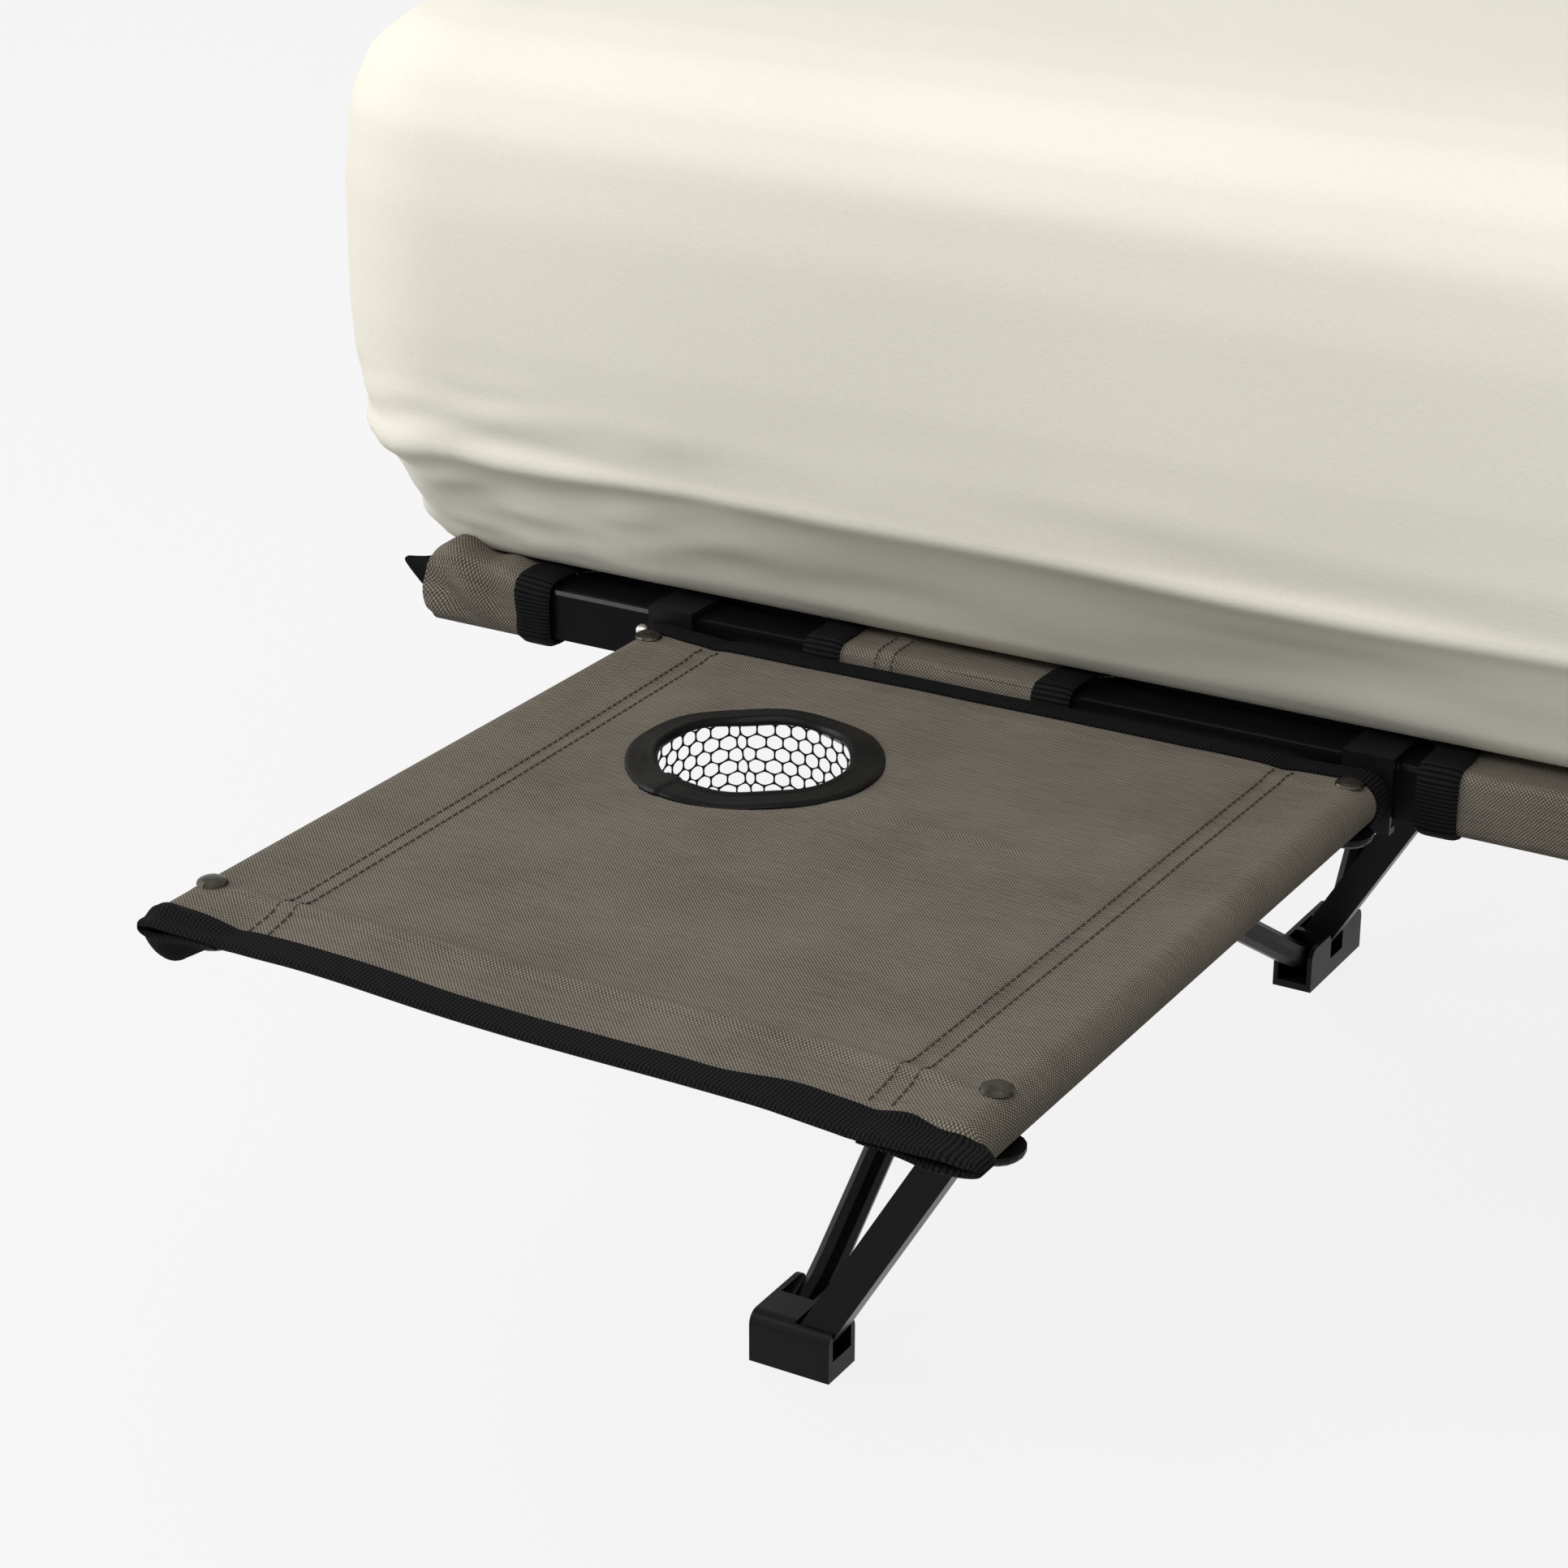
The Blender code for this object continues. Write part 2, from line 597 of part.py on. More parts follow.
def tangent_down(centre, radius, point, side):
    """The angle on a circle where the line to a point at its upper inner side touches its lower side."""
    dx, dz = point[0] - centre[0], point[1] - centre[1]
    reach = sqrt(dx * dx + dz * dz)
    return atan2(dz, dx) + side * acos(radius / reach)


def table_cloth():
    """The table top: one sheet with a sewn sleeve round each side tube and a round hole for the cup."""
    left, right = TABLE_LEFT, TABLE_LEFT + TABLE_WIDTH
    inner_r = TABLE_TUBE + FIT
    outer_r = inner_r + TABLE_CLOTH
    under = TABLE_TOP - TABLE_CLOTH
    steps = 14
    seam_in = (left + SEAM_INSET, under)
    low_in = tangent_down((left, TUBE_Z), inner_r, seam_in, -1)
    slope = low_in + pi / 2
    seam_out = (seam_in[0] + TABLE_CLOTH / abs(sin(slope)), under)
    low_out = tangent_down((left, TUBE_Z), outer_r, seam_out, -1)
    sleeve_out = arc((left, TUBE_Z), outer_r, pi / 2, low_out + 2 * pi, steps)
    sleeve_in = arc((left, TUBE_Z), inner_r, pi / 2, low_in + 2 * pi, steps)

    def mirrored(points):
        return [(left + right - u, v) for u, v in reversed(points)]

    edge = sleeve_out + [seam_out] + mirrored(sleeve_out + [seam_out])
    loop = sleeve_in + [seam_in]
    length = TABLE_REACH + CLOTH_OVERHANG - EDGE_GAP
    middle = TABLE_Y - EDGE_GAP - length / 2
    sheet = stand(plate([edge], length), TO_XZ, (0, middle, 0))
    sheet = place(sheet, "table_cloth", TAUPE_CLOTH)
    for side_name, hollow in (("left", loop), ("right", mirrored(loop))):
        room = stand(plate([hollow], length + 2 * PAST), TO_XZ, (0, middle, 0))
        cut(sheet, room, f"table_sleeve_{side_name}")
    cup = (TABLE_LEFT + CUP_X, TABLE_Y - CUP_Y)
    cut(sheet, rod((*cup, under - 2 * PAST), (*cup, TABLE_TOP + PAST), CUP_HOLE, 32), "table_cup_hole")
    for side_name, x, _ in table_sides():
        for row, y in rivet_rows():
            hole = rod((x, y, TUBE_Z - 2 * PAST), (x, y, TABLE_TOP + PAST), SHANK_RADIUS + FIT, 10)
            cut(sheet, hole, f"table_cloth_hole_{side_name}_{row}")
    return sheet


def table_binding(name, edge_y, outward):
    """Folded webbing over one edge of the table cloth, a U section along X."""
    low = TABLE_TOP - TABLE_CLOTH - FIT
    high = TABLE_TOP + FIT
    back = edge_y + outward * FIT
    front = edge_y - outward * BINDING_WIDTH
    outline = [(front, high), (front, high + BINDING_THICK), (back + outward * BINDING_THICK, high + BINDING_THICK),
               (back + outward * BINDING_THICK, low - BINDING_THICK), (front, low - BINDING_THICK), (front, low),
               (back, low), (back, high)]
    if outward < 0:
        outline.reverse()
    left = TABLE_LEFT + SEAM_INSET + BINDING_INSET
    right = TABLE_LEFT + TABLE_WIDTH - SEAM_INSET - BINDING_INSET
    strip = stand(plate([outline], right - left), TO_YZ, ((left + right) / 2, 0, 0))
    return place(strip, name, BLACK_WEBBING)


def side_tube(side_name, x):
    """A side tube of the table, with holes for its two rivets."""
    inner_end = TABLE_Y - FIT
    outer_end = TABLE_Y - TABLE_REACH
    name = f"table_tube_{side_name}"
    tube = place(rod((x, outer_end, TUBE_Z), (x, inner_end, TUBE_Z), TABLE_TUBE, 16), name, FRAME_STEEL)
    bore = rod((x, outer_end - PAST, TUBE_Z), (x, inner_end + PAST, TUBE_Z), TABLE_TUBE - TABLE_TUBE_WALL, 12)
    cut(tube, bore, name + "_bore")
    for row, y in rivet_rows():
        hole = rod((x, y, TUBE_Z - 2 * PAST), (x, y, TUBE_Z + 2 * PAST), SHANK_RADIUS + FIT, 10)
        cut(tube, hole, f"{name}_hole_{row}")
    return tube


def hook(side_name, x):
    """A hook over the near rail, with a lip behind it and a jaw under it, on a plug in the side tube."""
    name = f"table_hook_{side_name}"
    left, right = x - HOOK_WIDTH / 2, x + HOOK_WIDTH / 2
    face = -(RAIL_Y + RAIL_SIZE / 2 + HOOK_FACE_GAP)
    behind = -(RAIL_Y - RAIL_SIZE / 2) + FIT
    jaw_tip = -(RAIL_Y + RAIL_SIZE / 2 + FIT) + HOOK_JAW
    top = RAIL_TOP + FIT
    jaw_top = RAIL_BOTTOM - HOOK_JAW_GAP
    outline = [(TABLE_Y, top + HOOK_PLATE), (TABLE_Y, jaw_top - HOOK_PLATE),
               (jaw_tip, jaw_top - HOOK_PLATE), (jaw_tip, jaw_top), (face, jaw_top), (face, top),
               (behind, top), (behind, top - HOOK_LIP), (behind + HOOK_PLATE, top - HOOK_LIP),
               (behind + HOOK_PLATE, top + HOOK_PLATE)]
    clip = stand(plate([outline], right - left), TO_YZ, (x, 0, 0))
    clip = place(clip, name, HUB_PLASTIC)
    radius = TABLE_TUBE - TABLE_TUBE_WALL - FIT
    plug = rod((x, TABLE_Y + HOOK_PLATE / 3, TUBE_Z), (x, TABLE_Y - HOOK_PLUG, TUBE_Z), radius, 12)
    join(clip, plug, name + "_plug")
    row, y = rivet_rows()[0]
    hole = rod((x, y, TUBE_Z - 2 * PAST), (x, y, TUBE_Z + 2 * PAST), SHANK_RADIUS + FIT, 10)
    return cut(clip, hole, name + "_rivet_hole")


def rivet(name, x, y):
    """A dome-headed rivet through the cloth and the side tube."""
    seat = TABLE_TOP + FIT
    foot = TUBE_Z - TABLE_TUBE - FIT - TABLE_CLOTH - FIT - KNOB_HEIGHT / 2
    dome = arc((0.0, 0.0), 1.0, pi / 2, 0.0, 4)
    profile = [(RIVET_RADIUS * u, seat + RIVET_HEIGHT * v) for u, v in dome]
    profile[0] = (0.0, seat + RIVET_HEIGHT)
    profile += [(SHANK_RADIUS, seat), (SHANK_RADIUS, foot), (0.0, foot)]
    piece = turned(profile, 16)
    piece.location = (x, y, 0)
    return place(piece, name, ANTIQUE_METAL)


def knob(name, x, y):
    """The mushroom knob under the side tube that takes the rivet's end."""
    top = TUBE_Z - TABLE_TUBE - FIT - TABLE_CLOTH - FIT
    socket = SHANK_RADIUS + FIT
    blind = top - KNOB_HEIGHT / 2 - FIT
    dome = arc((0.0, 0.0), 1.0, 0.0, -pi / 2, 5)
    profile = [(0.0, blind), (socket, blind), (socket, top), (KNOB_RADIUS, top)]
    profile += [(KNOB_RADIUS * u, top - KNOB_EDGE + (KNOB_HEIGHT - KNOB_EDGE) * v) for u, v in dome]
    profile[-1] = (0.0, top - KNOB_HEIGHT)
    piece = turned(profile, 20)
    piece.location = (x, y, 0)
    return place(piece, name, HUB_PLASTIC)


def cup_holder():
    """The bound rim of the cup hole and the mesh pocket that hangs from it."""
    x, y = TABLE_LEFT + CUP_X, TABLE_Y - CUP_Y
    high, low = TABLE_TOP + FIT, TABLE_TOP - TABLE_CLOTH - FIT
    web = CUP_HOLE - FIT
    profile = [(RIM_INNER, high + RIM_FLANGE), (RIM_OUTER, high + RIM_FLANGE), (RIM_OUTER, high), (web, high),
               (web, low), (RIM_OUTER, low), (RIM_OUTER, low - RIM_FLANGE), (RIM_INNER, low - RIM_FLANGE)]
    rim = turned(profile, 32)
    rim.location = (x, y, 0)
    place(rim, "cup_rim", BLACK_WEBBING)
    lip = low - RIM_FLANGE - FIT
    floor = TABLE_TOP - POCKET_DEPTH
    wall = RIM_INNER + POCKET_WALL
    profile = [(0.0, floor + POCKET_WALL), (RIM_INNER - POCKET_TAPER, floor + POCKET_WALL), (RIM_INNER, lip),
               (RIM_OUTER - POCKET_WALL, lip), (RIM_OUTER - POCKET_WALL, lip - POCKET_WALL),
               (wall, lip - POCKET_WALL), (wall - POCKET_TAPER, floor), (0.0, floor)]
    pocket = turned(profile, 28)
    pocket.location = (x, y, 0)
    return place(pocket, "cup_pocket", BLACK_MESH)


def side_table():
    """The hook-on table beside the bed."""
    table_cloth()
    table_binding("table_binding_inner", TABLE_Y - EDGE_GAP, 1)
    table_binding("table_binding_outer", TABLE_Y - TABLE_REACH - CLOTH_OVERHANG, -1)
    for side_name, x, _ in table_sides():
        side_tube(side_name, x)
        hook(side_name, x)
        for row, y in rivet_rows():
            rivet(f"table_rivet_{side_name}_{row}", x, y)
            knob(f"table_knob_{side_name}_{row}", x, y)
    cup_holder()


# The airbed's outline at each height: height above its base, and how far it draws in from its widest
BED_SECTION = ((0.000, 0.037), (0.020, 0.029), (0.042, 0.017), (0.072, 0.005), (0.106, 0.0), (0.160, 0.0),
               (0.194, 0.004), (0.215, 0.016), (0.229, 0.040))


def rounded_ring(inset, z):
    """A rounded rectangle at one height, drawn in by an inset from the bed's widest outline."""
    radius = max(BED_CORNER - inset, LEAST_CORNER)
    along_x, along_y = BED_HALF_LENGTH - inset, BED_HALF_WIDTH - inset
    ring = []
    for quarter, (sx, sy) in enumerate(((1, 1), (-1, 1), (-1, -1), (1, -1))):
        centre = (sx * (along_x - radius), sy * (along_y - radius))
        start = quarter * pi / 2
        ring += [(u, v, z) for u, v in arc(centre, radius, start, start + pi / 2, CORNER_STEPS)]
    return ring


def loft(rings, close_bottom):
    """A surface through rings of equal count, from the lowest to the highest, closed over the top."""
    shape = bmesh.new()
    rows = [[shape.verts.new(point) for point in ring] for ring in rings]
    count = len(rows[0])
    for lower, upper in zip(rows, rows[1:]):
        for i in range(count):
            j = (i + 1) % count
            shape.faces.new((lower[i], lower[j], upper[j], upper[i]))
    shape.faces.new(rows[-1])
    if close_bottom:
        shape.faces.new(list(reversed(rows[0])))
    data = bpy.data.meshes.new("loft")
    shape.to_mesh(data)
    shape.free()
    piece = bpy.data.objects.new("loft", data)
    bpy.context.scene.collection.objects.link(piece)
    return piece


def bed_rings(base, top, offset):
    """The bed's rings between two heights, set in by an offset."""
    stretch = (top - base) / BED_HEIGHT
    rings = [rounded_ring(inset + offset, base + height * stretch) for height, inset in BED_SECTION]
    rings += [rounded_ring(inset + offset, top - drop * stretch) for inset, drop in CROWN_RINGS]
    return rings


def port(radius, start, end):
    """A round cutter through the foot end of the bed, at the valve."""
    z = COVER_BASE + VALVE_HEIGHT
    return rod((start, VALVE_Y, z), (end, VALVE_Y, z), radius, 20)


COVER_BASE = DECK_TOP + COVER_LIFT
BED_BASE = COVER_BASE + COVER_WALL + FIT
BED_OFFSET = COVER_WALL + FIT
BED_TOP = COVER_BASE + BED_HEIGHT - COVER_WALL - FIT


def airbed():
    """The hollow airbed, its fitted cover with a turned-under hem, the valve and its hinged cap."""
    base = COVER_BASE
    hem = rounded_ring(BED_SECTION[0][1] + COVER_HEM, base)
    cover = loft([hem] + bed_rings(base, base + BED_HEIGHT, 0.0), False)
    shell = cover.modifiers.new("cloth", "SOLIDIFY")
    shell.thickness = COVER_WALL
    shell.offset = -1
    cover = place(cover, "fitted_cover", CREAM_COVER)
    cut(cover, port(COVER_PORT, BED_HALF_LENGTH - PORT_DEPTH, BED_HALF_LENGTH + PAST), "cover_port")
    bed = place(loft(bed_rings(BED_BASE, BED_TOP, BED_OFFSET), True), "airbed", AIRBED_VINYL)
    hollow = loft(bed_rings(BED_BASE + BED_WALL, BED_TOP - BED_WALL, BED_OFFSET + BED_WALL), True)
    cut(bed, hollow, "airbed_hollow")
    cut(bed, port(VALVE_NECK + FIT, BED_HALF_LENGTH - PORT_DEPTH, BED_HALF_LENGTH + PAST), "airbed_port")
    valve()


def valve():
    """The valve: a flanged neck through the airbed's end wall, with two ears that carry the cap's pin."""
    seat = BED_HALF_LENGTH - BED_OFFSET + FIT
    z = COVER_BASE + VALVE_HEIGHT
    front = seat + VALVE_PLATE
    profile = [(VALVE_BORE, VALVE_PLATE), (VALVE_FLANGE, VALVE_PLATE), (VALVE_FLANGE, 0.0), (VALVE_NECK, 0.0),
               (VALVE_NECK, -NECK_LENGTH), (VALVE_BORE, -NECK_LENGTH)]
    body = turned(profile, 24)
    body.rotation_euler = (0, pi / 2, 0)
    body.location = (seat, VALVE_Y, z)
    place(body, "valve", HUB_PLASTIC)
    hinge_z = z + CAP_HINGE_RISE
    hinge_x = front + CAP_KNUCKLE
    for side in (-1, 1):
        edges = sorted((VALVE_Y + side * EAR_INNER, VALVE_Y + side * EAR_OUTER))
        ear = box((seat + VALVE_PLATE / 2, edges[0], hinge_z - CAP_KNUCKLE),
                  (hinge_x + CAP_KNUCKLE, edges[1], hinge_z + CAP_KNUCKLE))
        join(body, ear, f"valve_ear_{side}")
    post = box((seat + FIT / 2, VALVE_Y - EAR_OUTER, z + VALVE_FLANGE * RIM_SHARE),
               (seat + VALVE_PLATE, VALVE_Y + EAR_OUTER, hinge_z + CAP_KNUCKLE))
    join(body, post, "valve_post")
    pin = rod((hinge_x, VALVE_Y - EAR_OUTER + CAP_PIN, hinge_z), (hinge_x, VALVE_Y + EAR_OUTER - CAP_PIN, hinge_z),
              CAP_PIN, 8)
    join(body, pin, "valve_pin")
    face = front + FIT
    cap = place(rod((face, VALVE_Y, z), (face + CAP_PLATE, VALVE_Y, z), CAP_RADIUS, 24), "valve_cap", HUB_PLASTIC)
    low, high = VALVE_Y - TONGUE_HALF, VALVE_Y + TONGUE_HALF
    tongue = box((face, low, z + CAP_RADIUS * RIM_SHARE), (face + CAP_PLATE, high, hinge_z))
    join(cap, tongue, "cap_tongue")
    join(cap, rod((hinge_x, low, hinge_z), (hinge_x, high, hinge_z), CAP_KNUCKLE - FIT, 12), "cap_knuckle")
    bore = rod((hinge_x, low - PAST, hinge_z), (hinge_x, high + PAST, hinge_z), CAP_PIN + FIT, 8)
    cut(cap, bore, "cap_bore")


rails()
deck()
for leg_set_name, (set_foot_x, set_lean) in LEG_SETS.items():
    leg_set(leg_set_name, set_foot_x, set_lean)
side_table()
airbed()
for piece in cot.objects:
    piece.data.shade_smooth()
    piece.data.set_sharp_from_angle(angle=radians(40))
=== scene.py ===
# %% [markdown]
# # An airbed cot with a hook-on side table
#
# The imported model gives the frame, and this lesson dresses it. The steel stays as it is and gets its
# paint. Everything that is sewn or inflated is laid out again in finer detail: the fitted cover, the
# deck with its sleeves, the table top, its bindings and stitches, and the mesh cup pocket.

# %% Load the frame
from math import cos, exp, pi, radians, sin, sqrt

import bpy
import numpy as np
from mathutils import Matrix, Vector, noise


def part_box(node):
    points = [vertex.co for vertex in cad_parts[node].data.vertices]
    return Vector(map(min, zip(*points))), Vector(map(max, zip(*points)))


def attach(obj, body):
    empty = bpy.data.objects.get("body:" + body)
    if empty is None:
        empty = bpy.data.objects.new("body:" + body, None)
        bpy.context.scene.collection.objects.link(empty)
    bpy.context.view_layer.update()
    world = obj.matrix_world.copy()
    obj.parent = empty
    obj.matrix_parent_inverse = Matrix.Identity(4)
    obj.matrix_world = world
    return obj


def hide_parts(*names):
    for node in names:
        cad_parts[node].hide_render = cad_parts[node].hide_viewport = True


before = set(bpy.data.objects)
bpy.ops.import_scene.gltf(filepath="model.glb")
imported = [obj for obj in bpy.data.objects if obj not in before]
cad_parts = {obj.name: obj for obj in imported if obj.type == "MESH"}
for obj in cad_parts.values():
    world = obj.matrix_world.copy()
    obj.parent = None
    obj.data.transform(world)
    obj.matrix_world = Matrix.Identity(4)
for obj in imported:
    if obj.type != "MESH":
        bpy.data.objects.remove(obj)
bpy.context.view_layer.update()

# %% [markdown]
# ## The camera
#
# The photograph is a close view of one corner, taken with a long lens from above the table. The camera
# is placed first, because every later choice is judged through it. Its place, its turn and its focal
# length were solved from the straight edges of the rail, the table and the bed.

# %% Place the camera
LENS_MM = 85.75
CAMERA_AT = (-0.0573, -1.7483, 0.8843)
CAMERA_DIP, CAMERA_ROLL, CAMERA_TURN = 0.397, -0.0018, 0.5296

camera_data = bpy.data.cameras.new("camera")
camera_data.lens = LENS_MM
camera_data.sensor_width = 36
camera_data.clip_end = 60
camera = bpy.data.objects.new("camera", camera_data)
camera.location = CAMERA_AT
camera.rotation_euler = (pi / 2 - CAMERA_DIP, CAMERA_ROLL, CAMERA_TURN)
bpy.context.scene.collection.objects.link(camera)
bpy.context.scene.camera = camera

# %% [markdown]
# ## Light, world and floor
#
# The product stands in soft white studio light. A large panel on the left and one overhead do most of
# the work, and the world fills in the rest. Camera, glossy and transmission rays see the world as white,
# and its light on the object is dimmer, so it doesn't wash the cloth out.


# %% Add the lamps, the world and the floor
WORLD_FILL = 0.46
FLOOR_WHITE = 0.86  # the share of white in the floor where a camera, glossy or transmission ray meets it
SEEN_BY = ("Is Camera Ray", "Is Transmission Ray", "Is Glossy Ray")


def panel(name, place, aim, size, power):
    """A soft rectangular lamp that points at a place."""
    data = bpy.data.lights.new(name, "AREA")
    data.shape = "RECTANGLE"
    data.size, data.size_y = size
    data.energy = power
    lamp = bpy.data.objects.new(name, data)
    lamp.location = place
    lamp.rotation_euler = (Vector(aim) - Vector(place)).to_track_quat("-Z", "Y").to_euler()
    bpy.context.scene.collection.objects.link(lamp)


panel("left_panel", place=(-3.6, -1.6, 1.8), aim=(-0.8, -0.5, 0.4), size=(2.2, 2.2), power=80)
panel("top_panel", place=(-0.1, -2.3, 2.9), aim=(-0.5, -0.5, 0.3), size=(2.6, 2.0), power=64)

world = bpy.data.worlds.new("studio")
bpy.context.scene.world = world
world.use_nodes = True
sky = world.node_tree
backdrop = sky.nodes["Background"]
backdrop.inputs["Color"].default_value = (1, 1, 1, 1)
rays = sky.nodes.new("ShaderNodeLightPath")
shown = rays.outputs[SEEN_BY[0]]
for kind in SEEN_BY[1:]:
    either = sky.nodes.new("ShaderNodeMath")
    either.operation = "MAXIMUM"
    sky.links.new(shown, either.inputs[0])
    sky.links.new(rays.outputs[kind], either.inputs[1])
    shown = either.outputs[0]
strength = sky.nodes.new("ShaderNodeMapRange")
strength.inputs["To Min"].default_value = WORLD_FILL
strength.inputs["To Max"].default_value = 1.0
sky.links.new(shown, strength.inputs["Value"])
sky.links.new(strength.outputs["Result"], backdrop.inputs["Strength"])

bpy.ops.object.select_all(action="DESELECT")
bpy.ops.mesh.primitive_plane_add(size=40, location=(0, 0, 0))
floor = bpy.context.object
floor.name = "floor"

bpy.context.scene.view_settings.view_transform = "Standard"

# %% [markdown]
# ## Shader maths as Python
#
# A material is a small program. One class wraps a socket so that maths on it reads as an expression,
# and another holds a material and makes any other node.


# %% Wrap sockets and materials
class Wire:
    """A node's output that can be used in Python expressions."""

    def __init__(self, tree, socket):
        self.tree, self.socket = tree, socket

    def math(self, operation, *values):
        node = self.tree.nodes.new("ShaderNodeMath")
        node.operation = operation
        for slot, value in zip(node.inputs, values):
            feed(self.tree, slot, value)
        return Wire(self.tree, node.outputs[0])

    def __add__(self, other):
        return self.math("ADD", self, other)

    def __sub__(self, other):
        return self.math("SUBTRACT", self, other)

    def __mul__(self, other):
        return self.math("MULTIPLY", self, other)

    def __radd__(self, other):
        return self.math("ADD", other, self)

    def __rsub__(self, other):
        return self.math("SUBTRACT", other, self)

    def __pow__(self, other):
        return self.math("POWER", self, other)

    def __abs__(self):
        return self.math("ABSOLUTE", self)

    def sin(self):
        return self.math("SINE", self)

    def over(self, limit):
        return self.math("GREATER_THAN", self, limit)

    def either(self, other):
        return self.math("MAXIMUM", self, other)

    def clamp(self, low=0.0, high=1.0):
        return self.math("MINIMUM", self.either(low), high)


def feed(tree, slot, value):
    """Link a wire into a socket, or set the socket's value."""
    if isinstance(value, Wire):
        tree.links.new(value.socket, slot)
    elif isinstance(value, tuple) and len(value) == 3 and len(slot.default_value) == 4:
        slot.default_value = (*value, 1.0)
    else:
        slot.default_value = value


class Finish:
    """A material with one Principled shader, and the nodes that vary it."""

    def __init__(self, name, roughness, metallic=0.0, **fixed):
        self.material = bpy.data.materials.new(name)
        self.material.use_nodes = True
        self.tree = self.material.node_tree
        self.shader = self.tree.nodes["Principled BSDF"]
        self.set(Roughness=roughness, Metallic=metallic, **fixed)

    def node(self, kind, inputs=None, output=0):
        """Any node by its type and the values or wires of its sockets."""
        made = self.tree.nodes.new("ShaderNode" + kind)
        for key, value in (inputs or {}).items():
            feed(self.tree, made.inputs[key], value)
        return Wire(self.tree, made.outputs[output])

    def place(self):
        """Object coordinates, in metres."""
        return self.node("TexCoord", output="Object")

    def cloth(self):
        """The cloth's own coordinates along its threads, in metres."""
        uv = self.tree.nodes.new("ShaderNodeUVMap")
        uv.uv_map = "cloth"
        return self.split(Wire(self.tree, uv.outputs[0]))[:2]

    def split(self, vector):
        node = self.tree.nodes.new("ShaderNodeSeparateXYZ")
        feed(self.tree, node.inputs[0], vector)
        return [Wire(self.tree, output) for output in node.outputs]

    def join(self, x, y, z=0.0):
        return self.node("CombineXYZ", {"X": x, "Y": y, "Z": z})

    def noise(self, where, scale, detail=2.0, roughness=0.5):
        return self.node("TexNoise", {"Vector": where, "Scale": scale, "Detail": detail,
                                      "Roughness": roughness})

    def mix(self, factor, first, second):
        """Blend two colours. A Mix node has its colour sockets after those for numbers and vectors."""
        node = self.tree.nodes.new("ShaderNodeMix")
        node.data_type = "RGBA"
        for slot, value in (("Factor", factor), (6, first), (7, second)):
            feed(self.tree, node.inputs[slot], value)
        return Wire(self.tree, node.outputs[2])

    def set(self, **values):
        """Set the shader's sockets to values or wires."""
        for key, value in values.items():
            feed(self.tree, self.shader.inputs[key.replace("_", " ")], value)

    def bump(self, height, distance, strength):
        """Raise the surface by a height from 0 to 1, times a distance in metres."""
        return self.node("Bump", {"Height": height, "Distance": distance, "Strength": strength})


def drifting(name, roughness, cloud, dark, light, spread=None, grain=None, bump=None, **fixed):
    """A finish whose colour drifts with a cloud of noise, given by its scale and detail.

    Spread is the least roughness and the range over it. Bump is a distance and a strength, by which a
    finer grain, or else the cloud, stands up.
    """
    made = Finish(name, roughness, **fixed)
    where = made.place()
    drift = made.noise(where, *cloud)
    made.set(Base_Color=made.mix(drift, dark, light))
    if spread:
        low, extent = spread
        made.set(Roughness=(low + drift * extent).clamp())
    if bump:
        made.set(Normal=made.bump(made.noise(where, *grain) if grain else drift, *bump))
    return made.material


# %% [markdown]
# ## Cloth finishes
#
# The table and the deck are one fabric, a taupe plain weave of thick polyester yarn. Seen close, light
# yarns cross dark ones, so the colour comes from two tones and not from one. The weave runs along the
# cloth's own coordinates, which keeps the threads square on a sleeve that turns round a tube.


# %% Weave the taupe cloth, the webbing and the cover
YARN_PITCH = 0.00074
RIB_PITCH = 0.0016


def weave(along, across, pitch):
    """Which yarn is on top at a place, from 0 to 1, and how high the yarns stand there."""
    u, v = along * (pi / pitch), across * (pi / pitch)
    warp, weft = u.sin(), v.sin()
    on_top = (warp * weft * 6.0 + 0.5).clamp()
    height = on_top * abs(warp) + (1.0 - on_top) * abs(weft)
    return on_top, height


def taupe_weave():
    made = Finish("taupe_weave", 0.85, Specular_IOR_Level=0.2)
    along, across = made.cloth()
    where = made.join(along, across)
    drift = made.noise(where, 900.0, 1.0)
    on_top, height = weave(along + drift * 0.0002, across + drift * 0.00015, YARN_PITCH)
    slub = made.noise(made.join(along * 60.0, across * 700.0), 1.0, 2.0)
    cloud = made.noise(where, 22.0, 3.0)
    tone = (on_top * 0.80 + height * 0.20 + (slub - 0.5) * 0.40 + (cloud - 0.5) * 0.40).clamp()
    colour = made.mix(tone, (0.024, 0.020, 0.015), (0.215, 0.188, 0.152))
    made.set(Base_Color=colour, Normal=made.bump(height, 0.0003, 0.8))
    return made.material


def black_webbing():
    made = Finish("black_webbing", 0.8, Specular_IOR_Level=0.05)
    along, across = made.cloth()
    rib = abs((along * (pi / RIB_PITCH)).sin())
    strand = abs((across * (pi / 0.0012) + along * (pi / (2 * RIB_PITCH))).sin())
    fleck = made.noise(made.join(along, across), 1600.0, 1.0)
    height = rib * 0.7 + strand * 0.3
    tone = ((height - 0.45) * 1.6 + fleck * 0.3).clamp()
    colour = made.mix(tone, (0.0008, 0.0008, 0.0009), (0.0105, 0.0105, 0.011))
    made.set(Base_Color=colour, Normal=made.bump(height, 0.0004, 0.9))
    return made.material


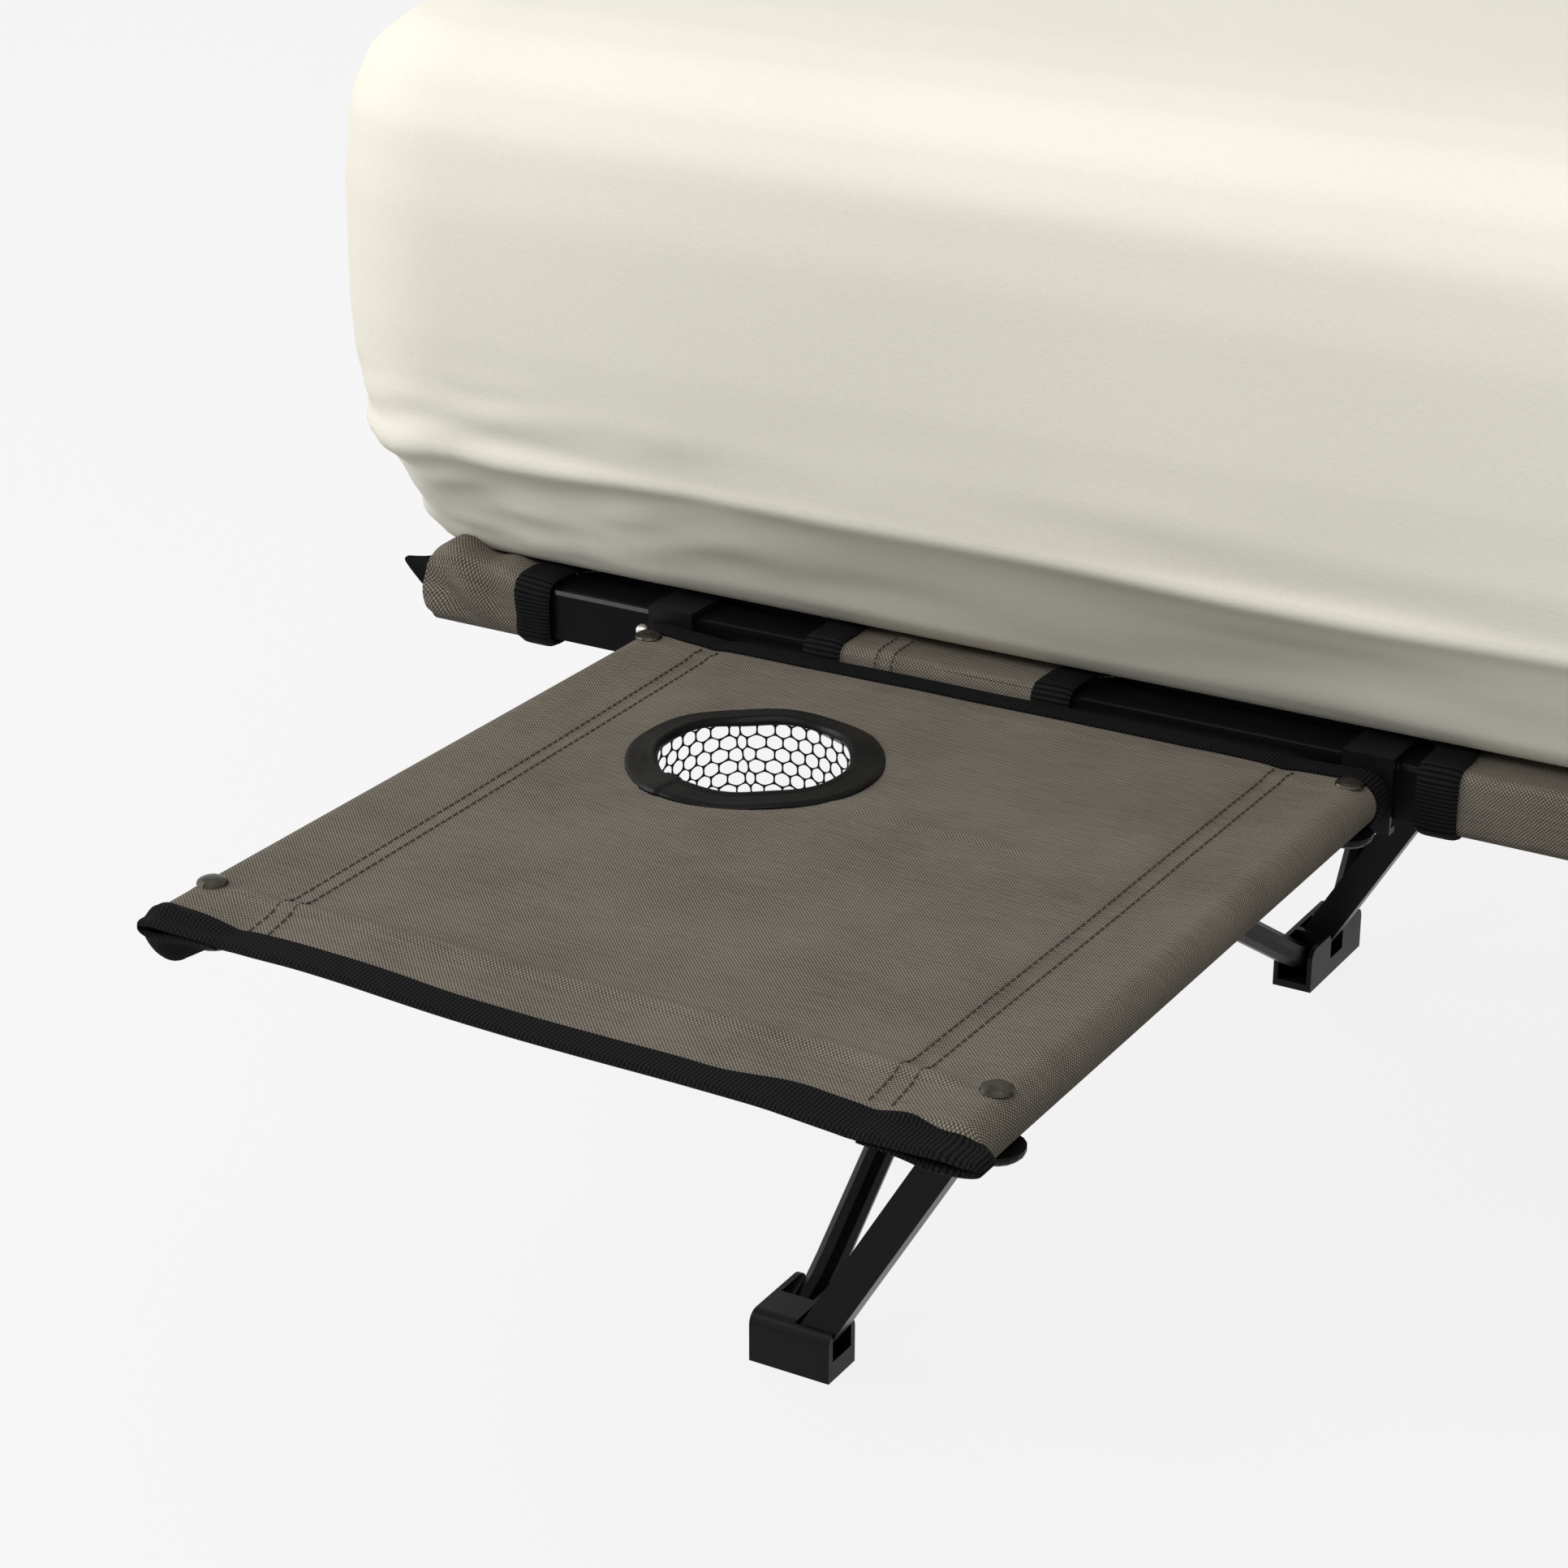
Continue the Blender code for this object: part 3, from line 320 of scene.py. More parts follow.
def slick_tape():
    """The folded tape round the cup's hole, shinier than the webbing."""
    made = Finish("slick_tape", 0.32, Specular_IOR_Level=0.09)
    along, across = made.cloth()
    grain = made.noise(made.join(along * 3.0, across), 700.0, 2.0)
    crease = made.noise(made.join(along * 6.0, across), 26.0, 3.0)
    colour = made.mix(grain, (0.0008, 0.0008, 0.001), (0.0030, 0.0030, 0.0036))
    made.set(Base_Color=colour, Roughness=(0.20 + crease * 0.25).clamp(),
             Normal=made.bump(crease * 0.7 + grain * 0.3, 0.0006, 0.7))
    return made.material


def cream_knit():
    made = Finish("cream_knit", 0.9, Specular_IOR_Level=0.2)
    where = made.place()
    fine = made.noise(where, 1500.0, 2.0)
    fleck = made.noise(where, 420.0, 2.0, 0.6)
    cloud = made.noise(where, 6.0, 2.0)
    tone = (fine * 0.25 + fleck * 0.35 + cloud * 0.4).clamp()
    colour = made.mix(tone, (0.635, 0.613, 0.530), (0.765, 0.740, 0.650))
    made.set(Base_Color=colour, Normal=made.bump(fine * 0.6 + fleck * 0.4, 0.00025, 0.5))
    return made.material


TAUPE = taupe_weave()
WEBBING = black_webbing()
TAPE = slick_tape()
KNIT = cream_knit()
TWIST = (2500.0, 1.0)
CORD = drifting("net_cord", 0.6, TWIST, (0.002, 0.002, 0.002), (0.012, 0.012, 0.012),
                Specular_IOR_Level=0.1)
THREAD = drifting("dark_thread", 0.6, TWIST, (0.010, 0.009, 0.008), (0.035, 0.031, 0.027))

# %% [markdown]
# ## Hard finishes
#
# The tubes have a black powder coat with a fine orange peel. On the rails an extra glossy coat lies on the
# rounded upper corners only, a painted highlight along their top edges. The moulded feet and hooks are
# duller, and the rivets are caps of dark metal.


# %% Paint, plastic and metal
RAIL = 0.022
RAIL_Y = 0.499
RAIL_TOP = 0.348
CORNER_REACH = 0.01415  # from the rail's middle to where its corner starts to round


def powder_coat():
    made = Finish("black_powder_coat", 0.3, Specular_IOR_Level=0.11)
    where = made.place()
    peel = made.noise(where, 650.0, 2.0)
    haze = made.noise(where, 9.0, 3.0)
    scuff = made.noise(made.join(*[axis * 40.0 for axis in made.split(where)]), 3.0, 4.0, 0.7)
    colour = made.mix(haze, (0.0025, 0.0025, 0.003), (0.006, 0.006, 0.0065))
    made.set(Base_Color=colour, Roughness=(0.24 + haze * 0.16 + scuff * 0.06).clamp(),
             Normal=made.bump(peel, 0.00006, 0.35))
    return made.material


def rail_coat_painted_highlight():
    """The rails' powder coat, with an extra glossy coat on the tube's rounded upper corners only: a painted
    highlight along the top edges.
    """
    made = Finish("rail_coat_painted_highlight", 0.34, Specular_IOR_Level=0.07, Coat_IOR=2.1, Coat_Roughness=0.12)
    where = made.place()
    peel = made.noise(where, 650.0, 2.0)
    haze = made.noise(where, 9.0, 3.0)
    x, y, z = made.split(where)
    across, up = abs(y) - RAIL_Y, z - (RAIL_TOP - RAIL / 2)
    reach = (across * across + up * up) ** 0.5
    # The mask takes the rounded upper corners only, where the coat paints a highlight; the lower corners
    # get none.
    corner = ((reach - CORNER_REACH) * 4000.0).clamp() * up.over(0.0)
    colour = made.mix(haze, (0.0012, 0.0012, 0.0015), (0.0035, 0.0035, 0.004))
    made.set(Base_Color=colour, Coat_Weight=corner * (0.35 + haze * 0.5),
             Normal=made.bump(peel, 0.00005, 0.3))
    return made.material


def dark_vinyl():
    made = Finish("dark_vinyl", 0.5)
    where = made.place()
    grain = made.noise(where, 700.0, 3.0)
    cloud = made.noise(where, 8.0, 2.0)
    colour = made.mix(cloud, (0.030, 0.034, 0.042), (0.055, 0.060, 0.072))
    made.set(Base_Color=colour, Roughness=(0.42 + grain * 0.2).clamp(),
             Normal=made.bump(grain, 0.0001, 0.5))
    return made.material


STEEL = powder_coat()
RAILS_PAINTED_HIGHLIGHT = rail_coat_painted_highlight()
VINYL = dark_vinyl()
PLASTIC = drifting("moulded_plastic", 0.4, (30.0, 3.0), (0.0025, 0.0025, 0.003), (0.007, 0.007, 0.0075),
                   spread=(0.3, 0.22), grain=(1800.0, 2.0), bump=(0.00008, 0.4), Specular_IOR_Level=0.12)
CAP = drifting("antique_cap", 0.28, (260.0, 3.0), (0.016, 0.015, 0.011), (0.085, 0.080, 0.064),
               spread=(0.2, 0.22), bump=(0.0001, 0.3), metallic=1.0)
BRIGHT = drifting("bright_screw", 0.2, (400.0, 2.0), (0.55, 0.53, 0.48), (0.80, 0.78, 0.72),
                  spread=(0.12, 0.2), metallic=1.0)

for name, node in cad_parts.items():
    if name.startswith("table_rivet"):
        finish = CAP
    elif name.startswith(("table_knob", "table_hook", "valve")) or "_foot_" in name:
        finish = PLASTIC
    elif name.startswith(("near_rail", "far_rail")):
        finish = RAILS_PAINTED_HIGHLIGHT
    else:
        finish = STEEL
    node.data.materials.clear()
    node.data.materials.append(finish)

floor_finish = Finish("pale_floor", 0.8)
grit = floor_finish.noise(floor_finish.place(), 3.0, 2.0)
floor_finish.set(Base_Color=floor_finish.mix(grit, (0.36, 0.36, 0.36), (0.39, 0.39, 0.39)))
seen = [floor_finish.node("LightPath", output=kind) for kind in SEEN_BY]
white = seen[0].either(seen[1]).either(seen[2]) * FLOOR_WHITE
lit = floor_finish.node("Emission", {"Color": (1.0, 1.0, 1.0), "Strength": 1.0})
shader = Wire(floor_finish.tree, floor_finish.shader.outputs[0])
blend = floor_finish.node("MixShader", {0: white, 1: shader, 2: lit})
feed(floor_finish.tree, floor_finish.tree.nodes["Material Output"].inputs["Surface"], blend)
floor.data.materials.append(floor_finish.material)

# %% [markdown]
# ## Laying cloth
#
# A sewn sheet is a flat grid laid onto a form. The grid is added with its operator, then every vertex
# moves to the place that a function gives for its two coordinates. The same coordinates, in metres,
# become the cloth's UV map, so threads, ribs and stitches all follow the sheet.


# %% Helpers for cloth and solid pieces
def alone(piece):
    """Select one piece and nothing else."""
    bpy.ops.object.select_all(action="DESELECT")
    piece.select_set(True)
    bpy.context.view_layer.objects.active = piece


def dress(piece, name, finish, body, *replaced):
    """Name a finished piece, give it its material and let it ride on its body."""
    piece.name = name
    piece.data.materials.clear()
    piece.data.materials.append(finish)
    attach(piece, body)
    if replaced:
        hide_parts(*replaced)


def places_of(piece):
    """The places of all of a piece's vertices, one per row."""
    flat = np.empty(len(piece.data.vertices) * 3)
    piece.data.vertices.foreach_get("co", flat)
    return flat.reshape(-1, 3)


def move_to(piece, places):
    """Move every vertex to its row's place."""
    piece.data.vertices.foreach_set("co", places.ravel())
    piece.data.update()


def lay(columns, rows, form, thread):
    """A grid of cloth: form and thread turn two arrays from 0 to 1 into places and cloth coordinates."""
    bpy.ops.object.select_all(action="DESELECT")
    bpy.ops.mesh.primitive_grid_add(x_subdivisions=columns, y_subdivisions=rows, size=1.0)
    piece = bpy.context.object
    u, v = places_of(piece).T[:2] + 0.5
    move_to(piece, form(u, v).T)
    corners = np.empty(len(piece.data.loops), np.int32)
    piece.data.loops.foreach_get("vertex_index", corners)
    cloth = np.array(thread(u, v)).T
    layer = piece.data.uv_layers[0]
    layer.name = "cloth"
    layer.data.foreach_set("uv", cloth[corners].ravel())
    return piece


def from_lists(name, points, faces):
    """A piece from a list of points and a list of faces."""
    data = bpy.data.meshes.new(name)
    data.from_pydata(points, [], faces)
    piece = bpy.data.objects.new(name, data)
    bpy.context.scene.collection.objects.link(piece)
    return piece


def thicken(piece, thickness, offset=0.0):
    """Give a sheet its thickness, to both sides unless an offset says otherwise."""
    shell = piece.modifiers.new("thickness", "SOLIDIFY")
    shell.thickness = thickness
    shell.offset = offset
    alone(piece)
    bpy.ops.object.modifier_apply(modifier=shell.name)
    return piece


def smooth(piece, angle):
    """Shade a piece smooth, but keep the edges that are sharper than an angle."""
    alone(piece)
    bpy.ops.object.shade_smooth_by_angle(angle=radians(angle))
    return piece


def merge(pieces):
    """Join several pieces into the first."""
    bpy.ops.object.select_all(action="DESELECT")
    for piece in pieces:
        piece.select_set(True)
    bpy.context.view_layer.objects.active = pieces[0]
    bpy.ops.object.join()
    return bpy.context.object


def edit(piece, *steps):
    """Run steps in Edit Mode with the whole piece selected."""
    alone(piece)
    bpy.ops.object.mode_set(mode="EDIT")
    bpy.ops.mesh.select_all(action="SELECT")
    for run_step in steps:
        run_step()
    bpy.ops.object.mode_set(mode="OBJECT")
    return piece


def weld(piece, distance):
    """Merge doubled vertices."""
    return edit(piece, lambda: bpy.ops.mesh.remove_doubles(threshold=distance))


def face_out(piece):
    """Turn every face outward."""
    return edit(piece, lambda: bpy.ops.mesh.normals_make_consistent(inside=False))


def distances(points):
    """How far along a line each of its points lies."""
    return np.concatenate([[0], np.cumsum(np.linalg.norm(np.diff(points, axis=0), axis=1))])


def wobble(points, scale, seed):
    """Smooth noise from -1 to 1 at each point, the same on every run."""
    shift = Vector((seed * 7.3, seed * 3.1, seed * 5.7))
    return np.array([noise.noise(Vector(p) * scale + shift) for p in points])


def step(edge0, edge1, x):
    """A smooth rise from 0 to 1 between two values."""
    t = np.clip((x - edge0) / (edge1 - edge0), 0.0, 1.0)
    return t * t * (3 - 2 * t)


def hump(x, centre, width):
    """A soft bump of height 1."""
    return np.exp(-(((x - centre) / width) ** 2))


# %% [markdown]
# ## The fitted cover
#
# The cover is a stretchy knit bag, pulled over the airbed and gathered under it. It shows the airbed's
# shape: upright sides that bulge, a soft crease where the lower chamber ends, and a turned-in foot. It is
# laid as one sheet that runs round the bed and up over its edge, row by row.

# %% Lay the fitted cover
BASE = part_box("fitted_cover")[0].z
HALF_X, HALF_Y = 1.022, 0.530
CORNER = 0.085
ROUND_BED = 5.9  # metres of cloth round the bed
CREASE = 0.0545  # the height of the crease over the cover's underside
# How far the cover stands out past its foot, and how high, from the hem under the bed to the middle of
# its top
SECTION = [(-0.060, 0.000), (-0.030, 0.000), (0.000, 0.000), (0.008, 0.009), (0.015, 0.023),
           (0.0225, 0.0365), (0.0300, 0.0480), (0.0342, 0.0560), (0.0360, 0.080), (0.037, 0.106),
           (0.037, 0.160), (0.034, 0.192), (0.024, 0.213), (0.006, 0.226), (-0.020, 0.2325),
           (-0.060, 0.2362), (-0.160, 0.2385), (-0.300, 0.2398), (-0.4965, 0.2400)]
FULLEST = 0.037


def round_outline(t, inset):
    """A point on the bed's rounded outline, t from 0 to 1 round it, drawn in by an inset."""
    radius = np.minimum(np.maximum(CORNER - inset, 0.004), HALF_Y - inset)
    ax, ay = HALF_X - inset - radius, HALF_Y - inset - radius
    full_x, full_y, arc = HALF_X - CORNER, HALF_Y - CORNER, pi / 2 * CORNER
    lengths = [full_y, arc, 2 * full_x, arc, 2 * full_y, arc, 2 * full_x, arc, full_y]
    ends = np.cumsum([0.0] + lengths)
    s = t * ends[-1]
    x, y = np.zeros_like(t), np.zeros_like(t)
    corner_at = [(1, 1, 0), (-1, 1, pi / 2), (-1, -1, pi), (1, -1, 3 * pi / 2)]
    for part in range(9):
        here = (s >= ends[part]) & (s <= ends[part + 1] + 1e-9)
        f = (s[here] - ends[part]) / lengths[part]
        if part % 2:
            sx, sy, start = corner_at[part // 2]
            angle = start + f * pi / 2
            x[here] = sx * ax[here] + radius[here] * np.cos(angle)
            y[here] = sy * ay[here] + radius[here] * np.sin(angle)
        elif part in (0, 8):
            x[here] = HALF_X - inset[here]
            y[here] = ay[here] * (f if part == 0 else f - 1)
        elif part == 4:
            x[here] = -(HALF_X - inset[here])
            y[here] = ay[here] * (1 - 2 * f)
        else:
            side = 1 if part == 2 else -1
            x[here] = side * ax[here] * (1 - 2 * f)
            y[here] = side * (HALF_Y - inset[here])
    return x, y


def section_at(h):
    """Inset and height along the cover's section, h from 0 at the hem to 1 at the middle of the top."""
    points = np.array([(FULLEST - out, z) for out, z in SECTION])
    run = distances(points)
    fine = np.linspace(0, run[-1], 1200)
    inset = np.interp(fine, run, points[:, 0])
    z = np.interp(fine, run, points[:, 1])
    kernel = np.hanning(13)
    kernel /= kernel.sum()
    inset, z = (np.convolve(np.pad(line, 6, "edge"), kernel, "valid") for line in (inset, z))
    spread = np.interp(h, [0.0, 0.10, 0.52, 0.84, 1.0], [0.0, 0.08, 0.235, 0.55, 1.0])
    at = spread * run[-1]
    return np.minimum(np.interp(at, fine, inset), HALF_Y), np.interp(at, fine, z)


def cover_form(u, v):
    inset, height = section_at(v)
    x, y = round_outline(u, inset)
    return np.stack([x, y, BASE + height])


cover = lay(540, 124, cover_form, lambda u, v: (u * ROUND_BED, v * 0.9))
weld(cover, 0.0004)
face_out(cover)
points = places_of(cover)
normals = np.array([vertex.normal[:] for vertex in cover.data.vertices])
height = points[:, 2] - BASE
corner_dx = np.abs(points[:, 0]) - (HALF_X - 0.10)
corner_dy = np.abs(points[:, 1]) - (HALF_Y - 0.10)
near_corner = step(-0.22, 0.06, corner_dx) * step(-0.16, 0.06, corner_dy)
low_band = step(-0.002, 0.012, height) * (1 - step(0.055, 0.10, height))
side_band = step(0.02, 0.08, height) * (1 - step(0.17, 0.23, height))
soft = wobble(points * (1, 1, 1.6), 4.2, 1)
fold = wobble(points * (1, 1, 0.35), 26.0, 2)
pucker = wobble(points * (1, 1, 2.5), 34.0, 3)
drag = wobble(points * (1, 1, 5.0), 11.0, 4)
push = soft * 0.0028 * side_band + drag * 0.0016 * low_band
push += near_corner * low_band * (fold * 0.0045 + pucker * 0.0030)
push += hump(height, CREASE, 0.0045) * (0.0016 + 0.0014 * soft)
push *= step(-0.001, 0.004, height)
move_to(cover, points + normals * push[:, None])
thicken(cover, 0.0011, -1.0)
smooth(cover, 80)
dress(cover, "bed_cover", KNIT, "frame", "fitted_cover")

# %% [markdown]
# ## The airbed under the cover
#
# Little of it shows: its underside past the ends of the deck, and the rim round the valve. It is a
# welded bag, so its underside is crossed by shallow channels where the inner webs pull it in.


# %% Lay the airbed
BED_LIFT = 0.0030  # the airbed's height over the cover's underside


def bed_form(u, v):
    points = np.array([
        (0.300, 0.0), (0.060, 0.0), (0.0385, 0.002), (0.019, 0.040), (0.0065, 0.072), (0.0025, 0.106),
        (0.0025, 0.160), (0.0065, 0.192), (0.020, 0.213), (0.045, 0.2255), (0.30, 0.2285), (0.515, 0.2285)])
    run = distances(points)
    inset, z = (np.interp(v * run[-1], run, column) for column in points.T)
    x, y = round_outline(u, inset)
    return np.stack([x, y, BASE + BED_LIFT + z])


bed = lay(220, 60, bed_form, lambda u, v: (u * ROUND_BED, v * 1.1))
weld(bed, 0.0004)
edit(bed, lambda: bpy.ops.mesh.select_all(action="DESELECT"), bpy.ops.mesh.select_non_manifold,
     bpy.ops.mesh.edge_face_add)
face_out(bed)
points = places_of(bed)
underside = 1 - step(0.0, 0.02, points[:, 2] - BASE - BED_LIFT)
points[:, 2] += 0.004 * underside * hump((points[:, 0] % 0.128) - 0.064, 0.0, 0.010)
move_to(bed, points)
smooth(bed, 60)
dress(bed, "air_chamber", VINYL, "frame", "airbed")

# %% [markdown]
# ## The deck
#
# The deck is one sheet of the taupe cloth with a sleeve sewn along each side. Each rail slides through
# its sleeves, and windows between them bare it, for the legs to fold into and for the table's hooks. A
# window is a rounded cut in the flat pattern, bound with webbing, so the deck is drawn as a flat pattern
# first: one coordinate runs along the rail, the other round it.

# %% Draw the deck's pattern round a rail
WINDOW_EDGE = 0.4815
DECK_HALF = 0.9555
PROUD = 0.0009  # from a tube to the middle of the cloth that lies on it
ROUND = 0.004
BEND = 0.016
SLEEVE_SEAM = 0.7280


def wrap_path(slack):
    """The section round a rail, from the window's edge over the top, down outside and back under."""
    out = RAIL_Y + RAIL / 2 + PROUD
    inn = RAIL_Y - RAIL / 2 - PROUD
    top = RAIL_TOP + PROUD
    low = RAIL_TOP - RAIL - PROUD - slack

    def corner(y, z, angles):
        """An arc about a corner's centre, between two angles."""
        return [(y + ROUND * cos(a), z + ROUND * sin(a)) for a in np.linspace(*angles, 7)]

    path = [(WINDOW_EDGE, top), (out - ROUND, top)]
    path += corner(out - ROUND, top - ROUND, (pi / 2 - 0.2, 0.0))
    path += [(out + slack * 0.3, (top + low) / 2)]
    path += corner(out - ROUND, low + ROUND, (0.0, -pi / 2))
    path += [(inn + ROUND, low)]
    path += corner(inn + ROUND, low + ROUND, (-pi / 2 - 0.2, -pi))
    path += [(inn, top - 0.003)]
    path = np.array(path)
    return path, distances(path)


WRAP, WRAP_RUN = wrap_path(0.0012)
WRAP_LENGTH = WRAP_RUN[-1]


def round_rail(x, s, side, lift=0.0):
    """The place on the cloth at x along the rail and s round it, raised by a lift. The far side is +1."""

    def section(at):
        at = np.clip(at, 0, WRAP_LENGTH)
        return np.array([np.interp(at, WRAP_RUN, WRAP[:, k]) for k in (0, 1)])

    near = 0.0012
    inside = np.clip(s, 0, WRAP_LENGTH)
    y, z = section(inside)
    ty, tz = section(inside + near) - section(inside - near)
    size = np.hypot(ty, tz) + 1e-9
    y = y + np.minimum(s, 0) - tz / size * lift
    z = z + ty / size * lift
    return np.stack([x, side * y, z])


LEG_SETS = ((-0.815, -1), (-0.075, -1), (0.815, 1))  # X of a set's outer end, and the way that it leans
OPENINGS = ((-0.0825, 0.0470), (0.1625, 0.3130))  # each set's two windows, measured against its lean
WINDOWS = sorted(tuple(sorted((x - lean * a, x - lean * b))) for x, lean in LEG_SETS for a, b in OPENINGS)


def sleeve_end(edge, inward, s):
    """Where a sleeve ends along X: its corner into the window is rounded."""
    rise = np.clip((BEND - s) / BEND, 0, 1)
    return edge + inward * BEND * (1 - np.sqrt(1 - rise**2))


def sleeve(start, end, start_open, end_open, side, seed):
    """One sleeve of cloth round a rail, between two windows or out to the deck's end."""
    columns = max(8, int((end - start) / 0.004))

    def form(u, v):
        s = -0.004 + v * (WRAP_LENGTH + 0.004)
        left = sleeve_end(start, -1, s) if start_open else np.full_like(s, start)
        right = sleeve_end(end, 1, s) if end_open else np.full_like(s, end)
        x = left + (right - left) * u
        p = np.stack([x * 9.0, s * 30.0 + seed, np.full_like(x, side * 3.0)], axis=1)
        ripple = wobble(p, 1.0, seed)
        seam = np.abs(x) - SLEEVE_SEAM
        felled = step(-0.0005, 0.0005, seam) * (1 - step(0.0095, 0.0120, seam))
        lift = 0.0003 + (ripple * 0.0007 + felled * 0.0009) * step(0.0, 0.012, s)
        return round_rail(x, s, side, lift)

    return lay(columns, 56, form, lambda u, v: (start + u * (end - start), v * WRAP_LENGTH))


def deck_sheet(columns, rows):
    """The flat middle of the deck. It dips a little between the rails."""

    def form(u, v):
        x = (u * 2 - 1) * DECK_HALF
        y = (v * 2 - 1) * (WINDOW_EDGE + 0.0002)
        sag = -0.0012 * (1 - (y / WINDOW_EDGE) ** 2)
        spine = np.maximum(0.0, 1 - np.abs(y) / 0.014)
        z = RAIL_TOP + PROUD + sag * (1 - spine)
        return np.stack([x, y, z])

    return lay(columns, rows, form, lambda u, v: ((u * 2 - 1) * DECK_HALF, (v * 2 - 1) * WINDOW_EDGE))


# %% [markdown]
# The sleeves at the deck's four ends are loose on their rails, so they slump and twist. That is a change
# to the laid places, strongest at the open mouth.


# %% Lay the deck and its bindings
def crumple(piece, end_x, side):
    """Slump and twist the last stretch of an end sleeve."""
    places = places_of(piece)
    out = np.sign(end_x)
    depth = (places[:, 0] - end_x) * out
    past = step(-0.060, -0.016, depth)
    centre_y, centre_z = side * RAIL_Y, RAIL_TOP - RAIL / 2
    dy, dz = places[:, 1] - centre_y, places[:, 2] - centre_z
    size = np.hypot(dy, dz) + 1e-9
    outside = step(-0.011, 0.002, side * dy) * step(-0.013, -0.004, dz)
    diagonal = np.sin((depth * 0.75 - dz) * (2 * pi / 0.021) + 1.1)
    ridge = wobble(places, 55.0, 11 + side)
    push = past * outside * (0.0026 + 0.0027 * diagonal + 0.0034 * ridge)
    places[:, 1] += push * dy / size
    places[:, 2] += push * dz / size + 0.0045 * past * step(0.004, 0.012, dz) * step(-0.014, 0.0, side * dy)
    mouth = 0.0045 * hump(dz, 0.004, 0.007) - 0.0060 * step(0.008, 0.016, dz) + 0.002 * ridge
    places[:, 0] += out * step(-0.010, 0.0, depth) * mouth
    move_to(piece, places)
    return piece


edges = [-DECK_HALF] + [value for window in WINDOWS for value in window] + [DECK_HALF]
cloth_parts = [deck_sheet(200, 60)]
for side in (-1, 1):
    for index in range(0, len(edges), 2):
        start, end = edges[index], edges[index + 1]
        strip = sleeve(start, end, index > 0, index + 2 < len(edges), side, index + 3 + side)
        if index == 0 or index + 2 >= len(edges):
            crumple(strip, start if index == 0 else end, side)
        cloth_parts.append(strip)
deck = merge(cloth_parts)
thicken(deck, 0.0009)
smooth(deck, 50)
dress(deck, "deck_fabric", TAUPE, "frame", "deck_cloth")

PAST_EDGE = 0.15  # the share of a band's width that stands past the cloth's edge
BAND_RISE = 0.0026  # how much further round the rail a band runs than the window's edge


def strip_along(path, width, lift, thickness, side):
    """A band of webbing along a path in the deck's flat pattern, on its left-hand side."""
    path = np.array(path)
    run = distances(path)
    count = int(run[-1] / 0.003)
    at = np.linspace(0, run[-1], count + 1)
    px = np.interp(at, run, path[:, 0])
    ps = np.interp(at, run, path[:, 1])
    tx, ts = np.gradient(px), np.gradient(ps)
    size = np.hypot(tx, ts)
    nx, ns = -ts / size, tx / size

    def form(u, v):
        inward = (v - PAST_EDGE) * width
        x = np.interp(u, at / run[-1], px) + np.interp(u, at / run[-1], nx) * inward
        s = np.interp(u, at / run[-1], ps) + np.interp(u, at / run[-1], ns) * inward
        edge = 1 - (2 * v - 1) ** 6
        return round_rail(x, np.minimum(s, WRAP_LENGTH), side, lift * (0.55 + 0.45 * edge))

    band = lay(count, 10, form, lambda u, v: (u * run[-1], v * width))
    return thicken(band, thickness)


def window_path(start, end):
    """The bound edge of one window, in the deck's flat pattern."""
    foot = WRAP_LENGTH - 0.002
    rise = BEND + BAND_RISE
    path = [(start, foot), (start, BEND)]
    path += [(start + BEND - BEND * cos(a), BEND - rise * sin(a)) for a in np.linspace(0.1, pi / 2, 9)]
    path += [(end - BEND + BEND * sin(a), BEND - rise * cos(a)) for a in np.linspace(0, pi / 2 - 0.1, 9)]
    path += [(end, BEND), (end, foot)]
    return path


def hanging_edge(start, end, side):
    """The deck's bound edge over a window. It turns down beside the rail."""
    drop = np.array([(0.4700, 0.3494), (0.4792, 0.3494), (0.4810, 0.3486), (0.4816, 0.3460),
                     (0.4816, 0.3415)])
    run = distances(drop)

    def form(u, v):
        x = start - 0.003 + (end - start + 0.006) * u
        y = side * np.interp(v * run[-1], run, drop[:, 0])
        z = np.interp(v * run[-1], run, drop[:, 1])
        wave = wobble(np.stack([x, y * 0, z * 0], axis=1), 40.0, 17 + side)
        return np.stack([x, y, z + wave * 0.0007 * v])

    band = lay(60, 12, form, lambda u, v: (u * (end - start), v * run[-1]))
    return thicken(band, 0.0011)


def loose_tip(end_x, side):
    """The bound end of a sleeve, past the end of its rail: it falls together into a point."""
    out = np.sign(end_x)

    def form(u, v):
        ring = round_rail(np.zeros_like(u), u * WRAP_LENGTH, side)
        shrink_y, shrink_z = 0.80 * (1 - 0.90 * v), 0.80 * (1 - 0.72 * v**0.8)
        start_y, start_z = side * RAIL_Y, RAIL_TOP - RAIL / 2
        centre_y = side * (RAIL_Y + 0.008 * v)
        centre_z = start_z + 0.008 * v
        y = centre_y + (ring[1] - start_y) * shrink_y
        z = centre_z + (ring[2] - start_z) * shrink_z
        x = end_x + out * v * (0.0175 - 0.003 * (1 - (ring[2] - start_z) / 0.012))
        shake = wobble(np.stack([x, y, z], axis=1), 70.0, 23)
        return np.stack([x, y + shake * 0.0012 * v, z + shake * 0.0016 * v])

    tip = lay(72, 14, form, lambda u, v: (v * 0.022, u * WRAP_LENGTH))
    return thicken(tip, 0.0010)


bands = []
for side in (-1, 1):
    for start, end in WINDOWS:
        band = strip_along(window_path(start, end)[::-1], 0.0165, 0.0023, 0.0012, side)
        bands.append(crumple(crumple(band, -DECK_HALF, side), DECK_HALF, side))
        bands.append(hanging_edge(start, end, side))
    bands += [loose_tip(end, side) for end in (-DECK_HALF, DECK_HALF)]
bindings = merge(bands)
smooth(bindings, 60)
dress(bindings, "deck_binding", WEBBING, "frame")

